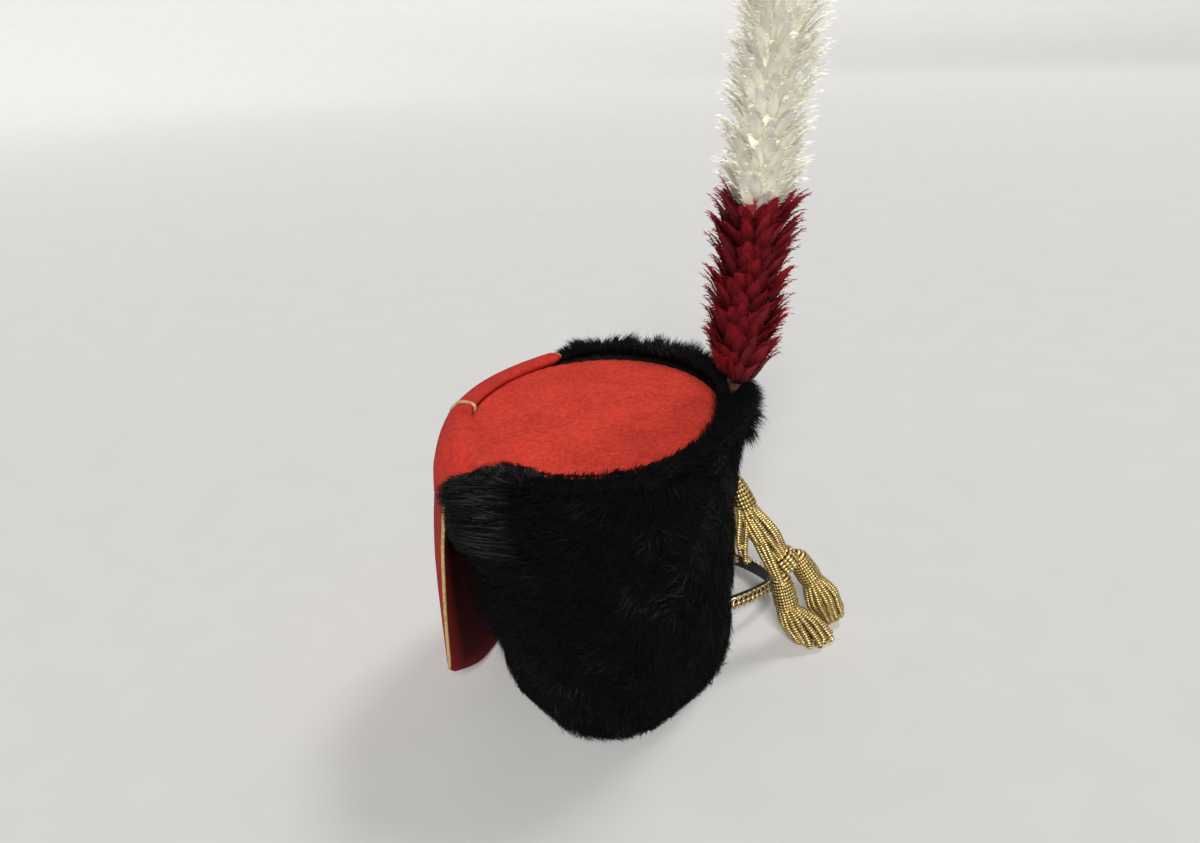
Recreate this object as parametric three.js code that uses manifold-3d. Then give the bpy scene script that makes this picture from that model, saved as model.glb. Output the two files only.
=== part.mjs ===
// A fur busby that stands on its rim: a flared, hollow fur body with a felt crown, a felt bag that
// rolls over one side and hangs to a point, a two-colour feather plume on the other side, a bullion
// tassel group below the plume and a chin strap with a chain that loops round the back.
// Millimetres, +Z up. In the hat's own axes the front is -Y, the plume is at +X and the bag at -X.

import * as THREE from "three";
import { mergeVertices } from "three/addons/utils/BufferGeometryUtils.js";
import Module from "manifold-3d";

const wasm = await Module();
wasm.setup();

// Driving sizes
const GAP = 0.35; // clearance between pieces that are sewn or pushed together
const RIM_HALF_WIDTH = 78; // inside of the head opening, ear to ear
const RIM_HALF_LENGTH = 100; // inside of the head opening, front to back
const TOP_HALF_WIDTH = 88.5; // inside of the body at the crown
const TOP_HALF_LENGTH = 100;
const FRONT_TAPER = 0.2; // how much narrower the oval is at the front of the rim
const WALL = 3; // body wall under the fur
const WALL_HEIGHT = 205.5;
const FELT = 2; // crown cloth
const BAG_THICK = 3; // doubled cloth of the hanging bag
const CROWN_DOME = 3;
const CREST_HEIGHT = 220; // top of the fur round the crown
const CREST_DIP = 8; // how much lower it lies at the front, where the fur is combed down
const CREST_DIP_AT = THREE.MathUtils.degToRad(255);
const PRESSED_CREST = 208.6; // the same where the bag lies on it
const PRESSED_SHARE = 0.52; // how much of the fur's depth the bag takes away
const FUR_LOCKS = 36; // locks round the body in one row
const FUR_ROWS = 6;
const LOCK_HANG = 9; // how far a lock's tip hangs below the gap beside it
const BAG_TURN = THREE.MathUtils.degToRad(20); // the bag sits this far behind the wearer's side
const BAG_REACH = THREE.MathUtils.degToRad(70); // half the angle of fur that the bag presses down
const BAG_HUG = THREE.MathUtils.degToRad(36); // the same lower down, where only its middle touches the fur
const BAG_FADE = THREE.MathUtils.degToRad(12);
const HUG_FROM = 150; // heights between which the pressed angle widens
const HUG_TO = 188;
const BAG_CORNER = 38; // height of the bag's two lower corners
const BAG_TIP = 6;
const BAG_SIDE_LIP = 4; // straight side below the corner station
const BRAID_RADIUS = 1.7;
const BRAID_SLACK = 0.6; // keeps the middle braid off the bag where the cloth bends
const BUTTON_RADIUS = 8;
const PLUME_LEAN = THREE.MathUtils.degToRad(7.4); // outwards, with the flare of the body
const PLUME_FOOT = new THREE.Vector3(97.4, 4, 174); // bottom of the stem, in the fur
const STEM_RADIUS = 2.5;
const STEM_LENGTH = 42;
const POCKET_FOOT = 9; // the fur parts round the lowest feathers
const POCKET_MOUTH = 26;
const CRIMSON_LENGTH = 138;
const WHITE_LENGTH = 138;
const PLUME_FEATHERS = 10; // feathers in one ring
const PLUME_RINGS = 7; // rings in one colour
const STRAND_RADIUS = 3;
const STRAND_SIDES = 6;
const STRAP_HEIGHT = 11;
const STRAP_THICK = 2;
const CHAIN_HEIGHT = 8;
const CHAIN_THICK = 2.6;
const STRAP_STEPS = 44;
const CHANNEL_STEPS = 13; // steps at each end of the strap that may lie in the fur

// How far the fur stands out of the wall, by height, at the plume side, the bag side and the two ends
const PILE = [
  { height: 0, plumeSide: 10, bagSide: 9, ends: 9 },
  { height: 30, plumeSide: 11.5, bagSide: 14, ends: 11 },
  { height: 60, plumeSide: 12, bagSide: 20, ends: 12 },
  { height: 100, plumeSide: 12, bagSide: 21, ends: 13 },
  { height: 150, plumeSide: 11.5, bagSide: 27, ends: 14 },
  { height: 190, plumeSide: 16, bagSide: 28, ends: 17 },
  { height: CREST_HEIGHT, plumeSide: 22, bagSide: 24, ends: 20 },
];

// The bag from the crown outwards and down: distance from the hat's axis at its middle, how far its
// edges fall back from that, height, half its width, and how far its middle has swung to the front
const BAG_STATIONS = [
  { out: 80, fallBack: 40, height: 210.8, half: 82, swing: 12 },
  { out: 88, fallBack: 41, height: 211.8, half: 84, swing: 12 },
  { out: 95, fallBack: 41, height: 213.4, half: 85, swing: 12 },
  { out: 102, fallBack: 40, height: 213.8, half: 86, swing: 12 },
  { out: 108, fallBack: 36, height: 209, half: 86, swing: 12 },
  { out: 112, fallBack: 32, height: 195, half: 86, swing: 12 },
  { out: 113, fallBack: 29, height: 160, half: 85, swing: 13 },
  { out: 107, fallBack: 19, height: 95, half: 84, swing: 14 },
  { out: 100, fallBack: 9, height: BAG_CORNER, half: 82, swing: 15 },
];
const BAG_END = { out: 96, fallBack: 4 };
const BAG_SPAN = 98; // sideways distance from the hat's axis at which the whole fall back is reached
const BAG_COLUMNS = 14;
const BAG_CURLED = 6; // stations of the bag's roll, which take twice the rows

// Plume radius along each colour, as a share of its length
const CRIMSON_PROFILE = [
  { share: 0, radius: 7 },
  { share: 0.12, radius: 17.5 },
  { share: 0.4, radius: 21.5 },
  { share: 1, radius: 23 },
];
const WHITE_PROFILE = [
  { share: 0, radius: 22 },
  { share: 0.25, radius: 25 },
  { share: 0.8, radius: 25 },
  { share: 0.94, radius: 19 },
  { share: 1, radius: 10 },
];

// Chin strap centreline from the plume side, out past the tassels, round the back and in under the bag
const STRAP_ROUTE = [
  { x: 83, y: 3, z: 26 },
  { x: 98, y: 8, z: 25.5 },
  { x: 117, y: 22, z: 22 },
  { x: 131, y: 37, z: 18 },
  { x: 136.5, y: 51, z: 14.5 },
  { x: 131, y: 71, z: 11 },
  { x: 113, y: 98, z: 7.5 },
  { x: 80, y: 127, z: 6 },
  { x: 35, y: 145, z: 5.9 },
  { x: -12, y: 148, z: 5.9 },
  { x: -51, y: 134, z: 6 },
  { x: -72, y: 106, z: 6.6 },
  { x: -78, y: 78, z: 8 },
  { x: -78.5, y: 48, z: 10.5 },
  { x: -82.6, y: 24, z: 19 },
  { x: -84.2, y: 6, z: 26 },
];

// Tassel group: where each bound head starts and ends, and its radius
const UPPER_HEAD = { from: [97, -2, 148], to: [116, -2, 117.5], narrow: 5.5, wide: 10.5 };
const KNOT = { at: [136, -2, 68], radius: 10 };
const INNER_HEAD = { from: [132, -10, 60], to: [141.5, -12, 31], narrow: 8.5, wide: 11.5 };
const OUTER_HEAD = { from: [147, 3, 71.5], to: [164.5, 5, 41], narrow: 8.5, wide: 11.5 };
const HEAD_STEPS = 5;
const HEAD_SIDES = 12;

// Strands of each tassel: starting angle round the head, and where the strand ends
const UPPER_STRANDS = [
  { turn: 10, end: [139, 5, 71] },
  { turn: 60, end: [141, 0, 74] },
  { turn: 120, end: [138, -7, 73] },
  { turn: 180, end: [133, -9, 65] },
  { turn: 215, end: [107, -8, 73] },
  { turn: 245, end: [111, -4, 71] },
  { turn: 285, end: [108, 2, 75] },
  { turn: 335, end: [131, 7, 67] },
];
const INNER_STRANDS = [
  { turn: 0, end: [162, -7, 6] },
  { turn: 40, end: [172, -11, 7] },
  { turn: 80, end: [173, -19, 5] },
  { turn: 120, end: [165, -26, 4.2] },
  { turn: 165, end: [155, -28, 3.8] },
  { turn: 210, end: [147, -23, 3.8] },
  { turn: 260, end: [143, -14, 3.8] },
  { turn: 310, end: [151, -7, 5] },
];
const OUTER_STRANDS = [
  { turn: 0, end: [180, 19, 8] },
  { turn: 45, end: [186, 13, 12] },
  { turn: 90, end: [187, 6, 11] },
  { turn: 135, end: [184, 0, 7] },
  { turn: 185, end: [177, 1, 4.6] },
  { turn: 235, end: [170, 5, 3.9] },
  { turn: 280, end: [167, 11, 3.9] },
  { turn: 320, end: [172, 18, 5] },
];

// Small helpers

const { lerp, smoothstep } = THREE.MathUtils;
const vector = (p) => new THREE.Vector3(...p);

// A repeatable number from 0 to 1 for the natural unevenness of fur and feathers.
function uneven(a, b) {
  const s = Math.sin(a * 12.9898 + b * 78.233) * 43758.5453;
  return s - Math.floor(s);
}

// Reads a table of rows by its rising first column, with straight lines between the rows.
function look(table, key, column, value) {
  let i = 1;
  while (i < table.length - 1 && table[i][key] < value) i++;
  const [low, high] = [table[i - 1], table[i]];
  const share = THREE.MathUtils.clamp((value - low[key]) / (high[key] - low[key]), 0, 1);
  return lerp(low[column], high[column], share);
}

// A closed geometry from points and triangles, turned so that its faces point out.
function closedGeometry(points, triangles) {
  let volume = 0;
  for (const [a, b, c] of triangles) {
    volume += points[a].dot(new THREE.Vector3().crossVectors(points[b], points[c]));
  }
  const facing = volume < 0 ? triangles.map(([a, b, c]) => [a, c, b]) : triangles;
  const geometry = new THREE.BufferGeometry().setFromPoints(points);
  geometry.setIndex(facing.flat());
  geometry.computeVertexNormals();
  return geometry;
}

// Joins rings of equal length. The ends are left as a torus ("loop"), closed to a middle point
// ("cone"), or closed across a flat ring whose second half runs back along the first ("strip").
function loft(rings, ends) {
  const size = rings[0].length;
  const points = rings.flat();
  const triangles = [];
  const at = (r, i) => (r % rings.length) * size + (i % size);
  const spans = ends === "loop" ? rings.length : rings.length - 1;
  for (let r = 0; r < spans; r++) {
    for (let i = 0; i < size; i++) {
      triangles.push([at(r, i), at(r, i + 1), at(r + 1, i + 1)]);
      triangles.push([at(r, i), at(r + 1, i + 1), at(r + 1, i)]);
    }
  }
  const caps = ends === "loop" ? [] : [[0, 1], [rings.length - 1, -1]];
  for (const [r, sense] of caps) {
    const add = (a, b, c) => triangles.push(sense > 0 ? [a, c, b] : [a, b, c]);
    if (ends === "cone") {
      const middle = points.length;
      const sum = rings[r].reduce((s, p) => s.add(p), new THREE.Vector3());
      points.push(sum.divideScalar(size));
      for (let i = 0; i < size; i++) add(middle, at(r, i), at(r, i + 1));
    } else {
      for (let i = 0; i < size / 2 - 1; i++) {
        add(at(r, i), at(r, i + 1), at(r, size - 2 - i));
        add(at(r, i), at(r, size - 2 - i), at(r, size - 1 - i));
      }
    }
  }
  return closedGeometry(points, triangles);
}

function solidOf(geometry) {
  const bare = new THREE.BufferGeometry();
  bare.setAttribute("position", geometry.getAttribute("position"));
  bare.setIndex(geometry.getIndex());
  const merged = mergeVertices(bare, 1e-4);
  const vertProperties = merged.getAttribute("position").array;
  const triVerts = new Uint32Array(merged.getIndex().array);
  return new wasm.Manifold(new wasm.Mesh({ numProp: 3, vertProperties, triVerts }));
}

function geometryOf(solid) {
  const mesh = solid.getMesh();
  const geometry = new THREE.BufferGeometry();
  geometry.setAttribute("position", new THREE.BufferAttribute(mesh.vertProperties, 3));
  geometry.setIndex(new THREE.BufferAttribute(mesh.triVerts, 1));
  geometry.computeVertexNormals();
  return geometry;
}

function join(geometries) {
  return geometryOf(geometries.map(solidOf).reduce((a, b) => a.add(b)));
}

function cut(geometry, tools) {
  return geometryOf(tools.map(solidOf).reduce((a, b) => a.subtract(b), solidOf(geometry)));
}

// A many-sided rod along a smooth curve.
function rod(points, radius, sides, steps) {
  const outline = [];
  for (let i = 0; i < sides; i++) {
    const angle = (i / sides) * 2 * Math.PI;
    outline.push(new THREE.Vector2(radius * Math.cos(angle), radius * Math.sin(angle)));
  }
  const extrudePath = new THREE.CatmullRomCurve3(points);
  return new THREE.ExtrudeGeometry(new THREE.Shape(outline), { steps, extrudePath, bevelEnabled: false });
}

// A turned piece about the line from one point to another. Profile rows are a share of the length and a radius.
function turned(from, to, profile, sides) {
  const length = from.distanceTo(to);
  const outline = profile.map(({ share, radius }) => new THREE.Vector2(radius, share * length));
  outline.unshift(new THREE.Vector2(0, outline[0].y));
  outline.push(new THREE.Vector2(0, outline.at(-1).y));
  const geometry = new THREE.LatheGeometry(outline, sides);
  const along = new THREE.Vector3().subVectors(to, from).normalize();
  geometry.applyQuaternion(new THREE.Quaternion().setFromUnitVectors(new THREE.Vector3(0, 1, 0), along));
  geometry.translate(from.x, from.y, from.z);
  const bare = new THREE.BufferGeometry();
  bare.setAttribute("position", geometry.getAttribute("position"));
  bare.setIndex(geometry.getIndex());
  return withoutSlivers(mergeVertices(bare, 1e-4));
}

// Drops the triangles that collapsed to a line where a lathe meets its axis.
function withoutSlivers(geometry) {
  const index = geometry.getIndex().array;
  const kept = [];
  for (let i = 0; i < index.length; i += 3) {
    const [a, b, c] = [index[i], index[i + 1], index[i + 2]];
    if (a !== b && b !== c && c !== a) kept.push(a, b, c);
  }
  geometry.setIndex(kept);
  geometry.computeVertexNormals();
  return geometry;
}

// Fur body

// A point beside the body wall: angle round the hat, height, and distance outside the wall's inner face.
function wallPoint(angle, height, outside) {
  const share = height / WALL_HEIGHT;
  const front = Math.max(0, -Math.sin(angle));
  const narrow = 1 - FRONT_TAPER * front * front * Math.max(0, 1 - share);
  const halfWidth = lerp(RIM_HALF_WIDTH, TOP_HALF_WIDTH, share) * narrow;
  const halfLength = lerp(RIM_HALF_LENGTH, TOP_HALF_LENGTH, share);
  const [c, s] = [Math.cos(angle), Math.sin(angle)];
  const normal = new THREE.Vector2(c / halfWidth, s / halfLength).normalize();
  return new THREE.Vector3(halfWidth * c + normal.x * outside, halfLength * s + normal.y * outside, height);
}

// 1 where the bag lies on the fur, falling to 0 beside it.
function bagPress(angle, height) {
  const turn = angle - Math.PI + BAG_TURN;
  const away = Math.abs(Math.atan2(Math.sin(turn), Math.cos(turn)));
  const reach = lerp(BAG_HUG, BAG_REACH, smoothstep(height, HUG_FROM, HUG_TO));
  return 1 - smoothstep(away, reach, reach + BAG_FADE);
}

function pile(angle, height) {
  const c = Math.cos(angle);
  const side = look(PILE, "height", c > 0 ? "plumeSide" : "bagSide", height);
  const open = lerp(look(PILE, "height", "ends", height), side, c * c);
  return open * (1 - PRESSED_SHARE * bagPress(angle, height));
}

// One upright slice of the fur body: up the inside, over the crest and down the overlapping locks.
function furSlice(column) {
  const angle = (column / (2 * FUR_LOCKS)) * 2 * Math.PI;
  const press = bagPress(angle, CREST_HEIGHT);
  const dip = CREST_DIP * Math.max(0, Math.cos(angle - CREST_DIP_AT)) ** 2;
  const crest = lerp(CREST_HEIGHT - dip, PRESSED_CREST, press);
  const tuft = (column % 2 ? 3 : -1.5) * (1 - press) + 3 * (uneven(column, 1) - 0.5) * (1 - press);
  const slice = [0, WALL_HEIGHT / 2, WALL_HEIGHT].map((height) => wallPoint(angle, height, 0));
  slice.push(wallPoint(angle, WALL_HEIGHT, WALL));
  slice.push(wallPoint(angle, WALL_HEIGHT + FELT, WALL + 1));
  slice.push(wallPoint(angle, crest + tuft, WALL + 7));
  slice.push(wallPoint(angle, crest - 7 + tuft / 2, WALL + pile(angle, crest) * 0.9));
  const top = crest - 16;
  const drop = top / FUR_ROWS;
  for (let row = 0; row < FUR_ROWS; row++) {
    const ridge = (column + row) % 2;
    const swell = 1 + 0.16 * (uneven(column, row + 2) - 0.5);
    const tip = top - (row + 1) * drop;
    const hang = ridge * LOCK_HANG * (0.6 + 0.8 * uneven(row, column));
    const out = (height, share) => WALL + pile(angle, height) * share * swell;
    const tipHeight = Math.max(1.2, tip + 10 - hang);
    const rootHeight = top - row * drop + 3;
    slice.push(wallPoint(angle, rootHeight, out(rootHeight, 0.74)));
    slice.push(wallPoint(angle, lerp(rootHeight, tipHeight, 0.55), out(tip + drop / 2, ridge ? 1 : 0.86)));
    slice.push(wallPoint(angle, tipHeight, out(tip, ridge ? 1.08 : 0.84)));
  }
  slice.push(wallPoint(angle, 0, WALL + pile(angle, 0) * 0.6));
  return slice;
}

function furBody() {
  const slices = [];
  for (let column = 0; column < 2 * FUR_LOCKS; column++) slices.push(furSlice(column));
  return loft(slices, "loop");
}

// Felt crown: a shallow dome that sits on the top edge of the wall, inside the fur

function crownTop() {
  const turns = 40;
  const rings = [];
  for (const [share, lift] of [[1, 0], [0.97, FELT * 0.9], [0.75, FELT], [0.4, FELT], [0.4, 0], [0.75, 0]]) {
    const ring = [];
    for (let i = 0; i < turns; i++) {
      const angle = (i / turns) * 2 * Math.PI;
      const edge = wallPoint(angle, WALL_HEIGHT, WALL - GAP);
      const height = WALL_HEIGHT + GAP + lift + CROWN_DOME * (1 - share * share);
      ring.push(new THREE.Vector3(edge.x * share, edge.y * share, height));
    }
    rings.push(ring);
  }
  const [edge, shoulder, upper, upperMiddle, lowerMiddle, lower] = rings;
  const skin = loft([lowerMiddle, lower, edge, shoulder, upper, upperMiddle], "cone");
  return skin;
}

// Bag

const BAG_CURVE = new THREE.SplineCurve(BAG_STATIONS.map(({ out, height }) => new THREE.Vector2(out, height)));
const BAG_ROWS = [...BAG_STATIONS, { ...BAG_STATIONS.at(-1), ...BAG_END }].map((station, row) => ({ ...station, row }));

// A point of the bag: station along it, share of its half width from -1 at the front to 1 at the back,
// and distance outside its middle surface.
function bagPoint(station, across, outside) {
  const last = BAG_STATIONS.length - 1;
  const row = (column, s) => look(BAG_ROWS, "row", column, s);
  const width = row("half", station) * across - row("swing", station);
  const along = (s) => {
    const here = BAG_CURVE.getPoint(Math.min(s / last, 1));
    if (s > last) {
      const pointed = lerp(BAG_TIP, BAG_CORNER - BAG_SIDE_LIP, Math.abs(across));
      here.lerp(new THREE.Vector2(BAG_END.out, pointed), s - last);
    }
    return here.setX(here.x - row("fallBack", s) * (width / BAG_SPAN) ** 2);
  };
  const here = along(station);
  const ahead = along(Math.min(station + 0.25, last + 1)).sub(along(Math.max(station - 0.25, 0))).normalize();
  const out = here.x - ahead.y * outside;
  const [c, s] = [Math.cos(BAG_TURN), Math.sin(BAG_TURN)];
  return new THREE.Vector3(-c * out + s * width, s * out + c * width, here.y + ahead.x * outside);
}

const BAG_LAST = BAG_STATIONS.length; // station of the pointed lower edge

function bag() {
  const rings = [];
  const stations = [];
  for (let s = 0; s <= BAG_LAST; s += s < BAG_CURLED ? 0.5 : 1) stations.push(s);
  stations.splice(-1, 0, BAG_LAST - 0.5);
  for (const station of stations) {
    const ring = [];
    for (const outside of [BAG_THICK / 2, -BAG_THICK / 2]) {
      for (let i = 0; i <= BAG_COLUMNS; i++) {
        const across = ((outside > 0 ? i : BAG_COLUMNS - i) / BAG_COLUMNS) * 2 - 1;
        ring.push(bagPoint(station, across, outside));
      }
    }
    rings.push(ring);
  }
  return loft(rings, "strip");
}

// Braid on the bag: in the two side seams, or on the outside along the middle.
function bagBraid(across) {
  const beside = BRAID_RADIUS + GAP;
  const widest = BAG_STATIONS[0].half;
  const place = across === 0 ? 0 : across * (1 + beside / widest);
  const outside = across === 0 ? BAG_THICK / 2 + beside + BRAID_SLACK : 0;
  const last = across === 0 ? BAG_LAST - 0.55 : BAG_LAST - 1;
  const points = [];
  for (let i = 0; i <= 18; i++) points.push(bagPoint(lerp(0.3, last, i / 18), place, outside));
  return rod(points, BRAID_RADIUS, 6, 22);
}

function bagButton() {
  const seat = bagPoint(BAG_LAST - 0.12, 0, BAG_THICK / 2 + GAP);
  const top = bagPoint(BAG_LAST - 0.12, 0, BAG_THICK / 2 + GAP + 6);
  const profile = [
    { share: 0, radius: BUTTON_RADIUS * 0.8 },
    { share: 0.3, radius: BUTTON_RADIUS },
    { share: 0.75, radius: BUTTON_RADIUS * 0.75 },
    { share: 1, radius: BUTTON_RADIUS * 0.25 },
  ];
  return turned(seat, top, profile, 12);
}

// Plume

function plumeAxis(along) {
  return PLUME_FOOT.clone().add(
    new THREE.Vector3(Math.sin(PLUME_LEAN), 0, Math.cos(PLUME_LEAN)).multiplyScalar(along),
  );
}

// Overlapping feather rings about the plume's axis: each feather rises from the core, swells and ends in an outward tip.
function plumeFeathers(start, length, profile) {
  const columns = 2 * PLUME_FEATHERS;
  const step = length / PLUME_RINGS;
  const rings = [];
  const ring = (height, radiusOf) => {
    const made = [];
    for (let column = 0; column < columns; column++) {
      const angle = (column / columns) * 2 * Math.PI;
      const [radius, lift] = radiusOf(column);
      const centre = plumeAxis(start + Math.min(height + lift, length));
      const sideways = new THREE.Vector3(Math.cos(PLUME_LEAN), 0, -Math.sin(PLUME_LEAN));
      centre.addScaledVector(sideways, radius * Math.cos(angle));
      made.push(centre.add(new THREE.Vector3(0, radius * Math.sin(angle), 0)));
    }
    rings.push(made);
  };
  const radiusAt = (height) => look(profile, "share", "radius", height / length);
  ring(0, () => [radiusAt(0) * 0.6, 0]);
  for (let row = 0; row < PLUME_RINGS; row++) {
    const base = row * step;
    const ridge = (column) => (column + row) % 2;
    const vary = (column) => 1 + 0.2 * (uneven(column, row) - 0.5);
    ring(base + 0.15 * step, (column) => [radiusAt(base) * 0.72, ridge(column)]);
    ring(base + 0.6 * step, (column) => [radiusAt(base + 0.6 * step) * (ridge(column) ? 1 : 0.8), 0]);
    ring(base + step, (column) => [
      radiusAt(base + step) * (ridge(column) ? 1.28 : 0.86) * vary(column),
      ridge(column) * 4 - 1,
    ]);
  }
  ring(length, () => [radiusAt(length) * 0.5, 0]);
  return loft(rings, "cone");
}

function plumeStem() {
  return turned(
    plumeAxis(0),
    plumeAxis(STEM_LENGTH - GAP),
    [
      { share: 0, radius: STEM_RADIUS },
      { share: 1, radius: STEM_RADIUS },
    ],
    8,
  );
}

// The room that the stem and the lowest feathers take in the fur.
function plumePocket() {
  const stem = rod([plumeAxis(-GAP), plumeAxis(20), plumeAxis(STEM_LENGTH)], STEM_RADIUS + GAP, 8, 2);
  const spread = [
    { share: 0, radius: STEM_RADIUS + GAP },
    { share: 0.1, radius: POCKET_FOOT },
    { share: 1, radius: POCKET_MOUTH },
  ];
  return join([stem, turned(plumeAxis(STEM_LENGTH - 1), plumeAxis(STEM_LENGTH + 25), spread, 12)]);
}

// Tassels

function boundHead({ from, to, narrow, wide }, spare = 0) {
  const profile = [];
  for (let i = 0; i <= HEAD_STEPS; i++) {
    const share = i / HEAD_STEPS;
    const radius = lerp(narrow, wide, Math.sin((share * Math.PI) / 2)) * (share === 1 ? 0.85 : 1) + spare;
    profile.push({ share, radius });
  }
  return turned(vector(from), vector(to), profile, HEAD_SIDES);
}

// Bullion strands that leave the lower end of a head and curve to their own ends.
function strands(head, rows) {
  const from = vector(head.from);
  const to = vector(head.to);
  const along = new THREE.Vector3().subVectors(to, from).normalize();
  const sideways = new THREE.Vector3(0, 1, 0).cross(along).normalize();
  const upwards = new THREE.Vector3().crossVectors(along, sideways);
  return rows.map(({ turn, end }) => {
    const angle = THREE.MathUtils.degToRad(turn);
    const spread = head.wide - STRAND_RADIUS;
    const start = to.clone().addScaledVector(along, -4);
    start.addScaledVector(upwards, spread * Math.cos(angle)).addScaledVector(sideways, -spread * Math.sin(angle));
    const stop = vector(end);
    const bend = start.clone().lerp(stop, 0.45).addScaledVector(along, 3);
    bend.addScaledVector(upwards, 3 * Math.cos(angle)).addScaledVector(sideways, -3 * Math.sin(angle));
    return rod([start, bend, stop], STRAND_RADIUS, STRAND_SIDES, 3);
  });
}

function tassel(head, rows) {
  return join([boundHead(head), ...strands(head, rows)]);
}

function upperTassel() {
  const at = vector(KNOT.at);
  const knot = new THREE.IcosahedronGeometry(KNOT.radius, 1).translate(at.x, at.y, at.z);
  knot.deleteAttribute("normal");
  knot.deleteAttribute("uv");
  const group = join([boundHead(UPPER_HEAD), ...strands(UPPER_HEAD, UPPER_STRANDS), mergeVertices(knot, 1e-4)]);
  return cut(group, [boundHead(INNER_HEAD, 2 * GAP), boundHead(OUTER_HEAD, 2 * GAP)]);
}

// Chin strap and chain

// A flat band along the strap's route: how far its two faces lie outside the centreline, its height,
// and the steps of the route that it starts and ends at.
function band(inner, outer, height, first, last) {
  const curve = new THREE.CatmullRomCurve3(STRAP_ROUTE.map(({ x, y, z }) => new THREE.Vector3(x, y, z)));
  const rings = [];
  for (let step = first; step <= last; step++) {
    const share = step / STRAP_STEPS;
    const centre = curve.getPointAt(share);
    const ahead = curve.getTangentAt(share).setZ(0).normalize();
    const outwards = new THREE.Vector3(ahead.y, -ahead.x, 0);
    const corner = (out, up) => centre.clone().addScaledVector(outwards, out).add(new THREE.Vector3(0, 0, up));
    const [low, high] = [-height / 2, height / 2];
    rings.push([corner(inner, low), corner(inner, high), corner(outer, high), corner(outer, low)]);
  }
  return loft(rings, "strip");
}

const CHAIN_FACE = STRAP_THICK / 2 + GAP;

function chinStrap() {
  return band(-STRAP_THICK / 2, STRAP_THICK / 2, STRAP_HEIGHT, 0, STRAP_STEPS);
}

function chinChain() {
  return band(CHAIN_FACE, CHAIN_FACE + CHAIN_THICK, CHAIN_HEIGHT, 1, STRAP_STEPS - 1);
}

// The space that the strap and chain take in the fur.
function strapChannel(first, last) {
  return band(-STRAP_THICK / 2 - GAP, CHAIN_FACE + CHAIN_THICK + GAP, STRAP_HEIGHT + 2 * GAP, first, last);
}

// Assembly

const felt = new THREE.MeshStandardMaterial({ color: 0xd0392b, roughness: 0.95 });
const fur = new THREE.MeshStandardMaterial({ color: 0x0b0b0c, roughness: 0.9 });
const gold = new THREE.MeshStandardMaterial({ color: 0xc9a23e, roughness: 0.4, metalness: 0.8 });
const brass = new THREE.MeshStandardMaterial({ color: 0xc8ad6a, roughness: 0.3, metalness: 1 });
const leather = new THREE.MeshStandardMaterial({ color: 0x121212, roughness: 0.6 });
const crimsonFeather = new THREE.MeshStandardMaterial({ color: 0x7a1420, roughness: 0.7 });
const whiteFeather = new THREE.MeshStandardMaterial({ color: 0xefe9d6, roughness: 0.8 });
const quill = new THREE.MeshStandardMaterial({ color: 0x8a6a4a, roughness: 0.7 });

const busby = new THREE.Group();

function piece(name, geometry, material) {
  const mesh = new THREE.Mesh(geometry, material);
  mesh.name = name;
  busby.add(mesh);
}

const furTools = [plumePocket(), strapChannel(0, CHANNEL_STEPS), strapChannel(STRAP_STEPS - CHANNEL_STEPS, STRAP_STEPS), boundHead(UPPER_HEAD, GAP)];
piece("fur_body", cut(furBody(), furTools), fur);
piece("crown_top", crownTop(), felt);
piece("bag", bag(), felt);
piece("bag_braid_front", bagBraid(-1), gold);
piece("bag_braid_middle", bagBraid(0), gold);
piece("bag_braid_back", bagBraid(1), gold);
piece("bag_button", bagButton(), gold);
piece("plume_stem", plumeStem(), quill);
piece("plume_crimson", plumeFeathers(STEM_LENGTH, CRIMSON_LENGTH, CRIMSON_PROFILE), crimsonFeather);
piece("plume_white", plumeFeathers(STEM_LENGTH + CRIMSON_LENGTH + GAP, WHITE_LENGTH, WHITE_PROFILE), whiteFeather);
piece("tassel_upper", upperTassel(), gold);
piece("tassel_inner", tassel(INNER_HEAD, INNER_STRANDS), gold);
piece("tassel_outer", tassel(OUTER_HEAD, OUTER_STRANDS), gold);
piece("chin_strap", chinStrap(), leather);
piece("chin_chain", chinChain(), brass);

// The part's origin is under the middle of its box, on the surface that it stands on.
const extent = new THREE.Box3().setFromObject(busby);
const middle = extent.getCenter(new THREE.Vector3());
busby.position.set(-middle.x, -middle.y, -extent.min.z);

const part = new THREE.Group();
part.add(busby);

export default part;
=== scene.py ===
"""Dresses a fur busby: combed fur, felt crown and bag, feather plume, bullion tassels, chin chain, stage.

Shapes are worked out in millimetres about the hat's own upright axis: the front is -Y, the plume is at
+X and the bag at -X. Angles run from the plume side round by the back.
"""

import math

import bpy
import numpy as np
from bpy.props import FloatProperty, FloatVectorProperty, IntProperty, PointerProperty
from mathutils import Matrix, Vector
from mathutils.bvhtree import BVHTree


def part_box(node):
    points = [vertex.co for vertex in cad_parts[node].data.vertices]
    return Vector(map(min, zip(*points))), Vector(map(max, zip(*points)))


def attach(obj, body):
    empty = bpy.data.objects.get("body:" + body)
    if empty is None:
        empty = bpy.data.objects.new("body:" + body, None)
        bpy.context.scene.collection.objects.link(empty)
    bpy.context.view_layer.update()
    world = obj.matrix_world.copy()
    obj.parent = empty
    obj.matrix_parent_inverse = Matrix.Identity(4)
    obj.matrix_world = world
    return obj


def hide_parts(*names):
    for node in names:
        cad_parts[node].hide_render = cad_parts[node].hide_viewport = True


bl_info = {
    "name": "Fur busby",
    "version": (1, 0, 0),
    "blender": (4, 5, 0),
    "location": "View3D > Sidebar > Busby",
    "description": "Dresses a busby with fur, felt, feathers, bullion and chain",
    "category": "Object",
}

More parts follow.
